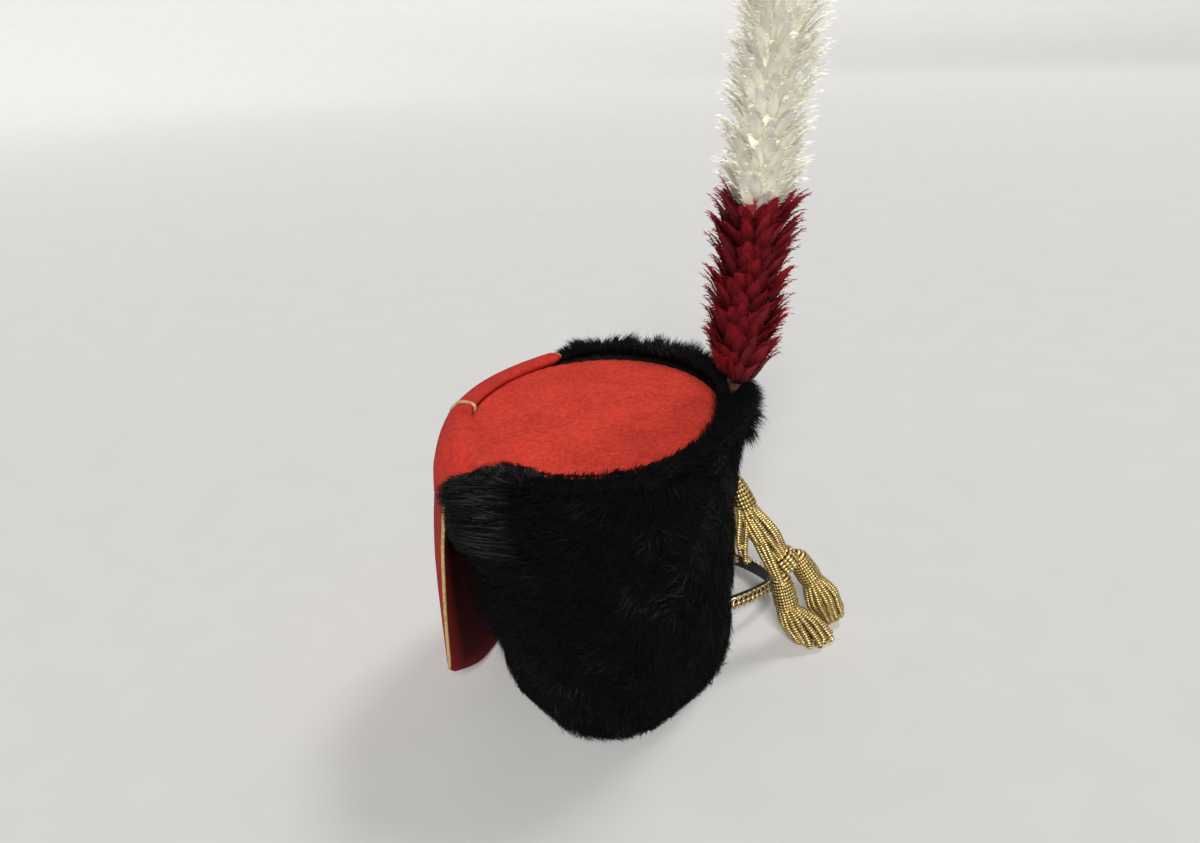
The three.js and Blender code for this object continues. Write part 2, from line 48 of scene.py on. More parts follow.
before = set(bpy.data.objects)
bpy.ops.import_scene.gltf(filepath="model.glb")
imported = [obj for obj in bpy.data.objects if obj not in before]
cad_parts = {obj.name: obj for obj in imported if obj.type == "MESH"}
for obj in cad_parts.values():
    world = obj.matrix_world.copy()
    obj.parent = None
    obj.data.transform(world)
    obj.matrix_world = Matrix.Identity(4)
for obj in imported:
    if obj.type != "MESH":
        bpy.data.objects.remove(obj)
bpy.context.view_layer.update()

MM = 0.001
TAU = 2 * math.pi
BACK = np.array((0, 1.0, 0))
UP = np.array((0, 0, 1.0))
CROWN_LOW, CROWN_HIGH = (np.array(corner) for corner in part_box("crown_top"))
HAT_AXIS = (CROWN_LOW + CROWN_HIGH) / 2 * np.array((1, 1, 0))

# Body wall
WALL = 3.0
WALL_HEIGHT = 205.5
RIM_HALF_WIDTH = 78.0
TOP_HALF_WIDTH = 88.5
HALF_LENGTH = 100.0
FRONT_TAPER = 0.2

# Depth of the fur
PILE_HEIGHT = (0, 30, 60, 100, 150, 190, 220)
PILE_PLUME_SIDE = (10, 11.5, 12, 12, 11.5, 16, 22)
PILE_BAG_SIDE = (9, 14, 20, 21, 27, 28, 24)
PILE_ENDS = (9, 11, 12, 13, 14, 17, 20)
PRESSED_SHARE = 0.52  # how much of the depth the bag presses flat
SIDE_LUMP_AT = math.radians(206)
SIDE_LUMP_SPREAD = 0.28
SIDE_LUMP_HEIGHT = (0, 10, 41, 65, 82, 100, 118, 131, 146, 160, 185)
SIDE_LUMP = (-3, -1, -4.5, 0, 7, 4.5, 2, 3, 6.5, 5, 0)
FOOT_THIN_HEIGHT = 34.0
FOOT_THIN = ((222, 0.42, 0.42), (250, 0.2, -0.4), (308, 0.36, 0.5))  # degrees, spread, share taken off

# Lay of the hair
FUR_RADIUS = 95.0  # turns sideways distance on the fur into an angle
FLOOR_CLEAR = 0.4  # how close a hair may come to the floor
CLOTH_CLEAR = 0.8  # how close a hair may come to the bag from inside
CLOTH_SIDE, CLOTH_TOP = -20, 207  # the bag hangs beyond this place and below this height
HIDDEN_PRESS, HIDDEN_ABOVE = 0.97, 180  # hair is left out where it is pressed so far and this high
SWEEP_AT = math.radians(238)
EVEN_ROUND, EVEN_UP = 0.7548776662, 0.5698402910  # steps that scatter clumps evenly both ways

# Crest round the crown, by degrees from the plume side
CREST_HEIGHT = 220.0
PRESSED_CREST = 206.8
CREST_LOCKS = 130
LOCK_STEPS = (78.233, 12.9898)  # make the length and the lean of neighbouring locks unlike
CREST_TURN = (0, 30, 80, 100, 112, 216, 222, 229, 237, 245, 250, 298, 318, 345, 360)
CREST_RISE = (220, 220.5, 220, 216.5, 216, 203, 204, 207.5, 210.5, 210, 209, 210.5, 213, 218.5, 220)
CREST_LONG = (1.1, 1.0, 0.9, 0.6, 0.5, 0.5, 0.5, 0.6, 0.65, 0.6, 0.5, 0.5, 0.65, 1.05, 1.1)
CREST_LEAN = (0.1, 0, 0, 0.2, 0.2, -0.6, -0.6, -0.5, -0.3, 0.1, 0.2, 0.3, 0.3, 0.15, 0.1)

# Tuft over the bag's front edge, brow beside it and loose lock beside the plume
TUFT_RISE = (146, 157, 168, 180, 188, 196, 200.5, 203, 208.5, 210.5)
TUFT_EDGE = (-102, -106, -107.5, -108, -111, -108.5, -103.5, -89, -75, -71)
TUFT_WIDTH = 34.0
TUFT_FACE = ((-111, -70), (-73, -87))  # places across it and how far forward it lies there
TUFT_ROOTS = (221, 246)  # degrees
TUFT_ROOT_RISE = (140, 206)
BROW = (
    (-102, -76, 199.5), (-91, -80.5, 202.5), (-80, -84, 206), (-75, -85, 210.5), (-66, -88, 212.5),
    (-52, -93, 213), (-41, -96, 211), (-37, -97, 207),
)
BROW_LEAN = (-11, -10, -8, -3, -1, 1, 4, 5)
BROW_LIFT = (3.5, 4.5, 6, 10, 11, 11, 11, 11)
LOCK_OUT = (115, 122, 126.5, 125, 127, 122.5, 116.5)
LOCK_RISE = (219, 214.5, 207, 198, 185, 172, 163.5)
LOCK_BACK = 8.0
LOCK_ROOTS = (-5, 15)  # degrees
LOCK_ROOT_RISE = (213, 184)
LOCK_ROOT_TOP = 214

# Hair is parted in front of the plume's stem, by millimetres from the stem's axis
STEM_CLEAR = 5.0
STEM_PARTING = 6.5
PARTING_FROM, PARTING_TO = -18, 3
PARTING_ABOVE = 208

# Crown
CROWN_HALF_WIDTH = 91.2
CROWN_HALF_LENGTH = 102.7
CROWN_SEAT = 2.3
CROWN_DOME = 3.0

# Bag, by stations from the crown over the roll to the pointed edge
BAG_LAST = 9
BAG_TURN = math.radians(20)
BAG_REACH_BACK = math.radians(50)
BAG_REACH_FRONT = math.radians(56)
BAG_HUG = math.radians(36)
BAG_FADE = math.radians(8)
BAG_SPREADS = (150, 188)  # heights over which it widens from its hug to its whole reach
BAG_HALF = (82, 84, 85, 86, 86, 86, 85, 84, 82, 82)
BAG_SWING = (12, 12, 12, 12, 12, 12, 13, 14, 15, 15)
BAG_BACK_WIDE = (15, 15, 15, 14, 12, 8, 4, 0, 0, 0)
BAG_FALL_BACK = (40, 41, 41, 40, 36, 32, 29, 19, 9, -1)
BAG_SPAN = 98.0
BAG_OUT_FLUSH = (70, 86, 95, 102, 106, 107, 110, 107, 101, 93)
BAG_OUT_ROLLED = (97, 90, 94, 101, 105, 107.5, 110, 107, 101, 93)
BAG_RISE_FLUSH = (206.5, 209.6, 209.2, 208.2, 204.5, 192, 158, 95, 38)
BAG_RISE_ROLLED = (204.5, 210.8, 213.4, 212.8, 207, 193, 160, 95, 38)
BAG_ROLL_FROM, BAG_ROLL_FULL = -0.42, -0.08
BAG_DROOP = 12.0
BAG_PINCH = 1.2
BAG_TIP = 4.0
BAG_TIP_ACROSS = -0.08
BAG_CORNER = 30.0
BAG_SKIN = 1.3
BAG_INNER_SHARE = 0.4
BAG_PUFF_AT = (0, 3.4, 4.55, 5.15, 5.8, 6.2, 6.6, 6.9, 8.1, 8.7, 9)
BAG_PUFF = (0, 0, 2.8, 4.2, 2.6, 4.6, 6.8, 7.4, 7.2, 5, 0)
BUTTON_HEIGHT = 6.5
BUTTON_RADII = (6, 7.8, 8, 7.2, 5.2, 1.2)

# Tassel heads, each its two ends and its radius there, and where the strands go
UPPER_HEAD = ((99, -2, 146.5), (110.5, -3, 115.5), 4.6, 8.4)
INNER_HEAD = ((133, -9, 61), (139.5, -12.5, 30.5), 6.8, 9.4)
OUTER_HEAD = ((147, 3, 71.5), (162.5, 5, 42), 6.8, 9.4)
HEAD_SWELL = (0.0, 0.35, 0.62, 0.82, 0.95, 1.0, 1.0)
HEAD_PINCH = (0.45, 1, 1, 1, 1, 1, 0.86)
STITCH_STEPS = 5  # rings of points in one row of stitches
KNOT_AT = np.array((136, -2, 68))
KNOT_TOP = KNOT_AT + (-6, 0, 11)
KNOT_BASE = KNOT_AT + (7, 0, -8)
KNOT_RADII = (4, 9, 11.4, 11.6, 10.4, 6)
SKIRT_THICK, SHORT_THICK, STAY_THICK = 0.9, 0.62, 0.5  # shares of a strand's radius
SHORT_STRANDS = (
    ((98.2, -9, 124), (97.5, -9, 77)),
    ((102.7, -9, 121), (102.3, -9, 88.4)),
    ((108, -9, 118), (107.2, -9, 75.5)),
    ((104.5, -5, 120), (104, -5, 81)),
)
STAYS = (
    ((112, -9, 112), (123, -12, 88), (135, -16, 54)),
    ((110, -7, 110), (120, -10, 86), (132.5, -14, 55)),
    ((108, -5, 110), (117, -7, 85), (130, -11, 56)),
)
INNER_ENDS = {
    0: (162, -7, 6), 40: (172, -11, 7), 80: (173, -19, 5), 120: (165, -26, 4.2),
    165: (155, -28, 3.8), 210: (147, -23, 3.8), 260: (143, -14, 3.8), 310: (151, -7, 5),
}
OUTER_ENDS = {
    0: (180, 19, 8), 45: (186, 13, 12), 90: (187, 6, 11), 135: (184, 0, 7),
    185: (177, 1, 4.6), 235: (170, 5, 3.9), 280: (167, 11, 3.9), 320: (172, 18, 5),
}
STRAND_FLOOR = 3.2

# Plume. A profile is heights as shares and the reach of the feathers there.
PLUME_LEAN = math.radians(7.4)
PLUME_FOOT = np.array((97.4, 4, 174))
STEM_LENGTH = 48.0
STEM_RADIUS = 1.9
STEM_FLARE = 4.2
COLOUR_LENGTH = 138.0
# shade is painted shade at each feather's foot; the glow is painted light, a faint emission.
FEATHER_LOOKS = {
    "crimson": {
        "start": STEM_LENGTH, "core_length": COLOUR_LENGTH,
        "profile": ((0, 0.1, 0.35, 1), (15, 25, 28, 30)),
        "tiers": 15, "each": 15, "first": 1.0, "length": 1.02, "width": 0.88, "core": 6.5, "curl": 0.2,
        "open": 0.42, "twist": 0.34, "steps": 8, "cup": 0.16, "point": 0.74, "bud": 1.0,
        "barbs": 12, "barbs_from": 0.3, "barb": 4.2, "barb_width": 0.3,
        "shade": (0.075, 0.004, 0.007), "stripes": 26.0, "painted_glow": 0.0,
    },
    "white": {
        "start": STEM_LENGTH + COLOUR_LENGTH, "core_length": COLOUR_LENGTH - 14,
        "profile": ((0, 0.25, 0.8, 0.92, 0.97, 1), (26, 29, 29, 24, 15, 3)),
        "tiers": 20, "each": 15, "first": -15.0, "length": 0.9, "width": 0.68, "core": 6.5, "curl": 0.24,
        "open": 0.5, "twist": 0.35, "steps": 6, "cup": 0.2, "point": 0.8, "bud": 0.3,
        "barbs": 20, "barbs_from": 0.15, "barb": 5.0, "barb_width": 0.32,
        "shade": (0.94, 0.91, 0.78), "stripes": 30.0, "painted_glow": 0.035,
    },
}

# Chin strap centreline, and how far the chain stands off it
STRAP_ROUTE = (
    (83, 3, 26), (98, 8, 25.5), (117, 22, 22), (131, 37, 18), (136.5, 51, 14.5), (131, 71, 11),
    (113, 98, 7.5), (80, 127, 6), (35, 145, 5.9), (-12, 148, 5.9), (-51, 134, 6), (-72, 106, 6.6),
    (-78, 78, 8), (-78.5, 48, 10.5), (-82.6, 24, 19), (-84.2, 6, 26),
)
STRAP_POINTS = 260
CHAIN_OFF = 3.6
CHAIN_LIFT = 0.15
CHAIN_SKIP = 6  # points of the line left bare at each end

# Lamps: the way their light goes, how many degrees wide it is, and its tint
LAMPS = {
    "key": ((0.0, 1.0, -0.75), 22, (1.0, 0.98, 0.95)),
    "back": ((-0.55, -0.5, -1.1), 14, (1.0, 0.99, 0.97)),
}

# Camera, in the hat's axes
CAMERA_AT = np.array((3.6, -662, 503))
CAMERA_DIP = math.radians(24.72)
CAMERA_ROLL = math.radians(4.52)
PHOTO_WIDTH = 1200
FOCAL_PIXELS = 1000
SENSOR_WIDTH = 36.0


# Number helpers


def lerp(a, b, share):
    return a + (b - a) * share


def smoothstep(value, low, high):
    share = np.clip((value - low) / (high - low), 0, 1)
    return share * share * (3 - 2 * share)


def unit(vectors):
    vectors = np.asarray(vectors, float)
    return vectors / np.maximum(np.linalg.norm(vectors, axis=-1, keepdims=True), 1e-9)


def to_row(points):
    """Hat millimetres to the part's own metres."""
    return np.asarray(points, float) * MM + HAT_AXIS


def turn_from(angle, middle):
    """The shorter way round the hat from a middle angle to another."""
    return np.arctan2(np.sin(angle - middle), np.cos(angle - middle))


def table_at(values, share):
    """Values of an evenly spaced table at shares of its length."""
    return np.interp(share * (len(values) - 1), np.arange(len(values)), values)


def ripple(angle, height, seed, waves, run):
    """A smooth uneven field of about -1 to 1 round the hat. waves is the most swells in one turn."""
    rng = np.random.default_rng(seed)
    total = np.zeros(np.broadcast(angle, height).shape)
    for _ in range(7):
        turns = rng.integers(1, waves + 1)
        total = total + np.sin(turns * angle + rng.normal() * height / run + rng.uniform(0, TAU))
    return total / 2.6


def smooth_run(values, place):
    """A uniform Catmull-Rom run through evenly spaced values, at any place along it."""
    values = np.asarray(values, float)
    last = len(values) - 1
    place = np.clip(place, 0, last)
    low = np.minimum(place.astype(int), last - 1)
    share = place - low
    a, b = values[np.maximum(low - 1, 0)], values[low]
    c, d = values[low + 1], values[np.minimum(low + 2, last)]
    if values.ndim == 2:
        share = share[..., None]
    pull, push = (c - a) / 2, (d - b) / 2
    return (
        b + pull * share + (3 * (c - b) - 2 * pull - push) * share**2
        + (2 * (b - c) + pull + push) * share**3
    )


def smooth_line(route, count):
    """Evenly spread places on the smooth run through a route."""
    return smooth_run(route, np.linspace(0, len(route) - 1, count))


def across_axes(along):
    """Two directions across a line."""
    side = unit(np.cross(BACK, along))
    return side, np.cross(along, side)


# Meshes


def keep_piece(name, mesh, slot):
    """Shows a mesh as a piece of the part."""
    piece = bpy.data.objects.new(name, mesh)
    bpy.context.scene.collection.objects.link(piece)
    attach(piece, "root")
    return piece


def add_piece(name, finishes, slot, points, faces, face_finish=None, marks=None, atlas=None, sharp=60):
    """A mesh piece from hat millimetres. faces is one or more arrays of equal-sided faces."""
    faces = [np.asarray(group, np.int64) for group in (faces if isinstance(faces, list) else [faces])]
    mesh = bpy.data.meshes.new(name)
    corners = np.concatenate([group.ravel() for group in faces])
    sides = np.concatenate([np.full(len(group), group.shape[1]) for group in faces])
    mesh.vertices.add(len(points))
    mesh.vertices.foreach_set("co", to_row(points).astype(np.float32).ravel())
    mesh.loops.add(len(corners))
    mesh.loops.foreach_set("vertex_index", corners.astype(np.int32))
    mesh.polygons.add(len(sides))
    mesh.polygons.foreach_set("loop_start", (np.cumsum(sides) - sides).astype(np.int32))
    if face_finish is not None:
        mesh.polygons.foreach_set("material_index", np.asarray(face_finish, np.int32))
    for key, values in (marks or {}).items():
        layer = mesh.attributes.new(key, "FLOAT", "POINT")
        layer.data.foreach_set("value", np.asarray(values, np.float32))
    if atlas is not None:
        layer = mesh.uv_layers.new(name="OFBake")
        layer.uv.foreach_set("vector", np.asarray(atlas, np.float32)[corners].ravel())
    mesh.update(calc_edges=True)
    mesh.validate()
    mesh.shade_smooth()
    if sharp:
        mesh.set_sharp_from_angle(angle=math.radians(sharp))
    for finish in finishes:
        mesh.materials.append(finish)
    return keep_piece(name, mesh, slot)


def even_marks(count, **values):
    """Marks that are the same at every point of a piece."""
    return {key: np.full(count, value) for key, value in values.items()}


def grid_faces(rows, columns, start=0, wrap_rows=False, wrap_columns=False, flip=False):
    """Four-sided faces of a grid of points, closed on itself where it wraps."""
    r = np.arange(rows if wrap_rows else rows - 1)[:, None]
    c = np.arange(columns if wrap_columns else columns - 1)[None, :]
    corners = ((r, c), (r, c + 1), (r + 1, c + 1), (r + 1, c))
    quads = np.stack([start + (i % rows) * columns + j % columns for i, j in corners], -1).reshape(-1, 4)
    return quads[:, ::-1] if flip else quads


def fan(centre, ring, flip=False):
    """Triangles from a centre point to each side of a closed ring."""
    ahead = np.roll(ring, -1)
    first, second = (ahead, ring) if flip else (ring, ahead)
    return np.stack([np.full(len(ring), centre), first, second], -1)


def tube_faces(rows, turns):
    """Faces of a round body whose two end points come after its rings."""
    here = np.arange(turns)
    count = rows * turns
    caps = np.concatenate([fan(count, here, flip=True), fan(count + 1, count - turns + here)])
    return [grid_faces(rows, turns, wrap_columns=True), caps]


def closed_sheet(outer, inner):
    """Points and faces of a sheet with an outer and an inner face, closed along its border."""
    rows, columns = outer.shape[:2]
    points = np.concatenate([outer.reshape(-1, 3), inner.reshape(-1, 3)])
    back = rows * columns
    place = np.arange(back).reshape(rows, columns)
    ring = np.concatenate([place[:, 0], place[-1, 1:], place[-2::-1, -1], place[0, -2:0:-1]])
    ahead = np.roll(ring, -1)
    rim = np.stack([ring, ahead, ahead + back, ring + back], -1)
    faces = np.concatenate([grid_faces(rows, columns), grid_faces(rows, columns, back, flip=True), rim])
    return points, faces


def needles(root, middle, tip, width, spin):
    """Closed three-sided needles, pointed at both ends and widest at the middle."""
    along = unit(tip - root)
    guide = np.where(np.abs(along[:, 2:]) > 0.9, (1.0, 0, 0), (0, 0, 1.0))
    side = unit(np.cross(along, guide))
    other = np.cross(along, side)
    turns = (spin[:, None] + np.arange(3) * TAU / 3)[..., None]
    round_it = np.cos(turns) * side[:, None] + np.sin(turns) * other[:, None]
    ring = middle[:, None] + np.reshape(width, (-1, 1, 1)) * round_it
    points = np.concatenate([root[:, None], ring, tip[:, None]], axis=1)
    size = points.shape[1]
    pattern = []
    for k in range(3):
        n = (k + 1) % 3
        pattern += [(0, 1 + n, 1 + k), (1 + k, 1 + n, size - 1)]
    faces = np.array(pattern)[None] + size * np.arange(len(root))[:, None, None]
    return points.reshape(-1, 3), faces.reshape(-1, 3), size


def curve_lines(name, lines, radii):
    """A curve object with one straight-pointed spline for each line of hat millimetres."""
    data = bpy.data.curves.new(name, "CURVE")
    data.dimensions = "3D"
    for line, radius in zip(lines, radii):
        spline = data.splines.new("POLY")
        spline.points.add(len(line) - 1)
        place = np.concatenate([to_row(line), np.ones((len(line), 1))], axis=1)
        spline.points.foreach_set("co", place.ravel())
        spline.points.foreach_set("radius", np.full(len(line), radius))
    holder = bpy.data.objects.new(name + "_path", data)
    bpy.context.scene.collection.objects.link(holder)
    return holder


def grow(name, lines, radii, group, values, slot):
    """Runs a node group on lines and keeps the result as a plain mesh piece."""
    holder = curve_lines(name, lines, radii)
    modifier = holder.modifiers.new("grow", "NODES")
    modifier.node_group = group
    for item in group.interface.items_tree:
        if item.item_type == "SOCKET" and item.in_out == "INPUT" and item.name in values:
            modifier[item.identifier] = values[item.name]
    bpy.context.view_layer.update()
    depsgraph = bpy.context.evaluated_depsgraph_get()
    mesh = bpy.data.meshes.new_from_object(holder.evaluated_get(depsgraph), depsgraph=depsgraph)
    if not len(mesh.polygons):
        raise RuntimeError(name + " came out empty")
    mesh.name = name
    holder.modifiers.remove(modifier)
    bpy.data.objects.remove(holder)
    return keep_piece(name, mesh, slot)


# Node trees


class Signal:
    """A value in a node tree. Arithmetic on it adds Math nodes."""

    def __init__(self, tree, socket):
        self.tree = tree
        self.socket = socket

    def math(self, operation, first, second=0.0):
        return self.tree.node("ShaderNodeMath", {"operation": operation}, {0: first, 1: second})

    def __add__(self, other):
        return self.math("ADD", self, other)

    __radd__ = __add__

    def __sub__(self, other):
        return self.math("SUBTRACT", self, other)

    def __rsub__(self, other):
        return self.math("SUBTRACT", other, self)

    def __mul__(self, other):
        return self.math("MULTIPLY", self, other)

    __rmul__ = __mul__

    def __truediv__(self, other):
        return self.math("DIVIDE", self, other)

    def __rtruediv__(self, other):
        return self.math("DIVIDE", other, self)

    def __abs__(self):
        return self.math("ABSOLUTE", self)

    def sine(self):
        return self.math("SINE", self)

    def band(self, low, high):
        """0 below low and 1 above high, with a soft step between."""
        inputs = {"Value": self, "From Min": low, "From Max": high}
        return self.tree.node("ShaderNodeMapRange", {"interpolation_type": "SMOOTHSTEP"}, inputs)


class Tree:
    """Adds nodes to one node tree."""

    def __init__(self, nodes):
        self.nodes = nodes

    def node(self, kind, settings=None, inputs=None, output=0):
        made = self.nodes.nodes.new(kind)
        for key, value in (settings or {}).items():
            setattr(made, key, value)
        for key, value in (inputs or {}).items():
            self.feed(self.find(made.inputs, key), value)
        return Signal(self, self.find(made.outputs, output)) if len(made.outputs) else None

    def find(self, sockets, key):
        """A socket by its number, its identifier or its name."""
        if isinstance(key, int):
            return sockets[key]
        for socket in sockets:
            if socket.identifier == key:
                return socket
        return sockets[key]

    def feed(self, socket, value):
        if isinstance(value, Signal):
            self.nodes.links.new(value.socket, socket)
        else:
            socket.default_value = value


class PathTree(Tree):
    """A Geometry Nodes group that works along curves, with named sizes."""

    def __init__(self, name, sizes):
        super().__init__(bpy.data.node_groups.new(name, "GeometryNodeTree"))
        face = self.nodes.interface
        for way in ("OUTPUT", "INPUT"):
            face.new_socket("Geometry", in_out=way, socket_type="NodeSocketGeometry")
        for label, value in sizes.items():
            kind = "NodeSocketInt" if isinstance(value, int) else "NodeSocketFloat"
            face.new_socket(label, in_out="INPUT", socket_type=kind).default_value = value
        self.entry = self.nodes.nodes.new("NodeGroupInput")

    def given(self, label):
        return Signal(self, self.entry.outputs[label])

    def close(self, shape, finish):
        """Ends the group in real geometry with its finish."""
        real = self.node("GeometryNodeRealizeInstances", None, {"Geometry": shape})
        dressed = self.node("GeometryNodeSetMaterial", None, {"Geometry": real, "Material": finish})
        self.node("NodeGroupOutput", None, {"Geometry": dressed})
        return self.nodes


class Finish(Tree):
    """A procedural material."""

    def __init__(self, name):
        self.material = bpy.data.materials.new(name)
        self.material.use_nodes = True
        super().__init__(self.material.node_tree)
        self.nodes.nodes.clear()

    def place(self):
        return self.node("ShaderNodeTexCoord", output="Object")

    def mark(self, name):
        return self.node("ShaderNodeAttribute", {"attribute_name": name}, output="Fac")

    def noise(self, size, detail=2.0, rough=0.5, vector=None):
        """Noise whose lumps are about size millimetres across."""
        inputs = {"Vector": vector or self.place(), "Scale": 1 / (size * MM)}
        inputs.update({"Detail": detail, "Roughness": rough})
        return self.node("ShaderNodeTexNoise", None, inputs, "Fac")

    def cells(self, size):
        inputs = {"Vector": self.place(), "Scale": 1 / (size * MM)}
        return self.node("ShaderNodeTexVoronoi", None, inputs, "Distance")

    def stretched(self, scale):
        return self.node("ShaderNodeMapping", None, {"Vector": self.place(), "Scale": scale})

    def blend(self, share, first, second):
        inputs = {"Factor_Float": share, "A_Color": colour(first), "B_Color": colour(second)}
        return self.node("ShaderNodeMix", {"data_type": "RGBA"}, inputs, "Result_Color")

    def relief(self, height, depth, strength=1.0):
        inputs = {"Height": height, "Distance": depth * MM, "Strength": strength}
        return self.node("ShaderNodeBump", None, inputs)

    def surface(self, inputs):
        shader = self.node("ShaderNodeBsdfPrincipled", None, inputs)
        self.node("ShaderNodeOutputMaterial", None, {"Surface": shader})
        return self.material


def colour(value):
    return value if isinstance(value, Signal) else (*value, 1.0)


# Finishes


def fur_finish(settings):
    """Black guard hair, darker at the root, with painted sheen: a few hairs greyed where they would catch
    the light.
    """
    made = Finish("fur_coat")
    tone, along = made.mark("tone"), made.mark("along")
    dark = made.blend(along, settings.root_colour, settings.hair_colour)
    # Painted sheen: the highest-toned hairs turn grey towards the tip.
    sheened_hair = made.blend(tone.band(0.8, 1.0) * along, dark, settings.painted_sheen_colour)
    return made.surface({
        "Base Color": sheened_hair,
        "Roughness": 0.8 - 0.35 * tone,
        "Specular IOR Level": 0.12,
    })


def wall_finish(settings):
    """The stiff woven wall seen inside the hat."""
    made = Finish("stiff_wall")
    weave = {"Vector": made.place(), "Scale": 320.0}
    warp = made.node("ShaderNodeTexWave", {"bands_direction": "Z"}, weave, "Fac")
    patch = made.noise(9)
    return made.surface({
        "Base Color": made.blend(patch, settings.wall_dark, settings.wall_colour),
        "Roughness": 0.75 + 0.2 * patch,
        "Normal": made.relief(warp, 0.2),
    })


def felt_finish(name, bright, deep, settings, low=None, beside=None):
    """Fulled wool: a mottled ground, lint specks, a fine nap, broad cloudy shading and, given low, painted
    shade.
    """
    made = Finish(name)
    # Where the bag lies flush on the crown, join takes its painted shade back towards the crown's colours.
    if beside is not None:
        join = made.mark("join")
        bright, deep = (made.blend(join, own, other) for own, other in zip((bright, deep), beside))
    nap = made.noise(1.1, 3, 0.7)
    mottle = made.noise(3.6, 3, 0.6)
    cloud = made.noise(30, 2)
    fleck = made.cells(4.2).band(0.16, 0.04)
    shade = 0.25 * cloud.band(0.3, 0.7) + 0.4 * mottle.band(0.32, 0.68) + 0.35 * nap.band(0.34, 0.66)
    ground = made.blend(shade, deep, bright)
    # Painted shade: the colour goes towards low where the hang mark is high, down the hanging bag.
    if low is not None:
        ground = made.blend(made.mark("hang") * 0.6, ground, low)
    return made.surface({
        "Base Color": made.blend(fleck * 0.4, ground, settings.fleck_colour),
        "Roughness": 0.86 + 0.12 * nap,
        "Normal": made.relief(nap + 0.8 * mottle, 0.9, 0.9),
        "Sheen Weight": 0.04,
        "Sheen Roughness": 0.5,
        "Sheen Tint": colour(settings.sheen_colour),
        "Specular IOR Level": 0.15,
    })


def shaded_inside_finish(settings):
    """The inner face of the bag, all painted shade: darkened felt beside the seams, darkest further in
    against the fur.
    """
    made = Finish("bag_felt_inside")
    nap = made.noise(1.1, 3, 0.7)
    # Painted shade: lightest by the seams, darkest further in where the fur keeps the light out.
    inner_shade = made.blend(made.mark("seam").band(0.72, 1.0), settings.inside_painted_shade, settings.shaded_inside_colour)
    return made.surface({
        "Base Color": made.blend(nap * 0.35, inner_shade, settings.inside_painted_shade),
        "Roughness": 0.86 + 0.12 * nap,
        "Normal": made.relief(nap, 0.6, 0.9),
        "Specular IOR Level": 0.12,
    })


def bullion_finish(name, clean, dull, settings, shine, metal):
    """Gilt wire: painted glints on the ridges, tarnished between them and painted shade almost black deep in
    the grooves.
    """
    made = Finish(name)
    ridge = made.mark("ridge")
    wear = made.noise(2.6, 3, 0.6)
    spark = made.noise(0.9, 1)
    gilt = made.blend(wear.band(0.34, 0.6), dull, clean)
    # Painted glints: bright spots on the ridges, where light would catch.
    bright = made.blend(spark.band(0.5, 0.66) * ridge, gilt, settings.painted_glint_colour)
    return made.surface({
        # Painted shade: almost black where the ridge mark is low, deep between the turns.
        "Base Color": made.blend(ridge.band(0.2, 0.75), settings.painted_groove_shade, bright),
        "Metallic": metal,
        "Roughness": shine + 0.25 * (1 - wear),
        "Normal": made.relief(spark, 0.15, 0.5),
    })


def brass_finish(settings):
    """Rubbed brass wire with duller patches."""
    made = Finish("chain_brass")
    wear = made.noise(3.0, 3)
    return made.surface({
        "Base Color": made.blend(wear.band(0.4, 0.7), settings.brass_dark, settings.brass_colour),
        "Metallic": 1.0,
        "Roughness": 0.2 + 0.2 * wear,
        "Normal": made.relief(made.noise(0.6), 0.05, 0.4),
    })


def leather_finish(settings):
    """Black grained leather, scuffed in patches."""
    made = Finish("strap_leather")
    grain = made.cells(0.9)
    scuff = made.noise(7, 3)
    return made.surface({
        "Base Color": made.blend(scuff.band(0.45, 0.75), settings.leather_colour, settings.leather_scuff),
        "Roughness": 0.42 + 0.25 * scuff,
        "Normal": made.relief(grain, 0.25, 0.6),
        "Coat Weight": 0.12,
    })


def feather_finish(name, base, tip, shade, stripes, painted_glow):
    """A vane: painted shade at its foot, a paler tip partly painted highlight, fine slanted barb lines and
    its own tone.
    """
    made = Finish(name)
    tone, along, across = made.mark("tone"), made.mark("along"), made.mark("across")
    barbs = ((along * stripes + abs(across) * (0.35 * stripes)) * TAU).sine() * 0.5 + 0.5
    rise = made.blend(along.band(0.05, 0.95), shade, base)
    bright = made.blend(tone * along.band(0.3, 1.0), rise, tip)
    lined = made.blend(barbs * 0.22, bright, shade)
    return made.surface({
        "Base Color": lined,
        "Roughness": 0.7 - 0.15 * tone,
        "Normal": made.relief(barbs, 0.12, 0.6),
        "Specular IOR Level": 0.2,
        # Painted light: a faint glow in the vane's colour stands in for light passing through the feathers.
        "Emission Color": lined,
        "Emission Strength": painted_glow,
    })


def quill_finish(settings):
    """Streaky brown horn."""
    made = Finish("quill_horn")
    streak = made.noise(1.2, 2, 0.5, made.stretched((6, 6, 1)))
    return made.surface({
        "Base Color": made.blend(streak, settings.quill_dark, settings.quill_colour),
        "Roughness": 0.45 + 0.2 * streak,
        "Normal": made.relief(streak, 0.2),
    })


def floor_finish(settings):
    """A plain pale floor."""
    made = Finish("stage_floor")
    cloud = made.noise(60, 3)
    return made.surface({
        "Base Color": made.blend(cloud.band(0.3, 0.7), settings.floor_shade, settings.floor_colour),
        "Roughness": 0.75,
    })


# Kinds of setting


def colour_setting(name, description, default):
    return FloatVectorProperty(
        name=name, description=description, subtype="COLOR", default=default, min=0, max=1)


def length_setting(name, description, default):
    return FloatProperty(name=name, description=description, unit="LENGTH", default=default)


def number_setting(name, description, default, least=1):
    return IntProperty(name=name, description=description, default=default, min=least)


def light_setting(name, description, default):
    return FloatProperty(name=name, description=description, default=default, min=0)


# Fur


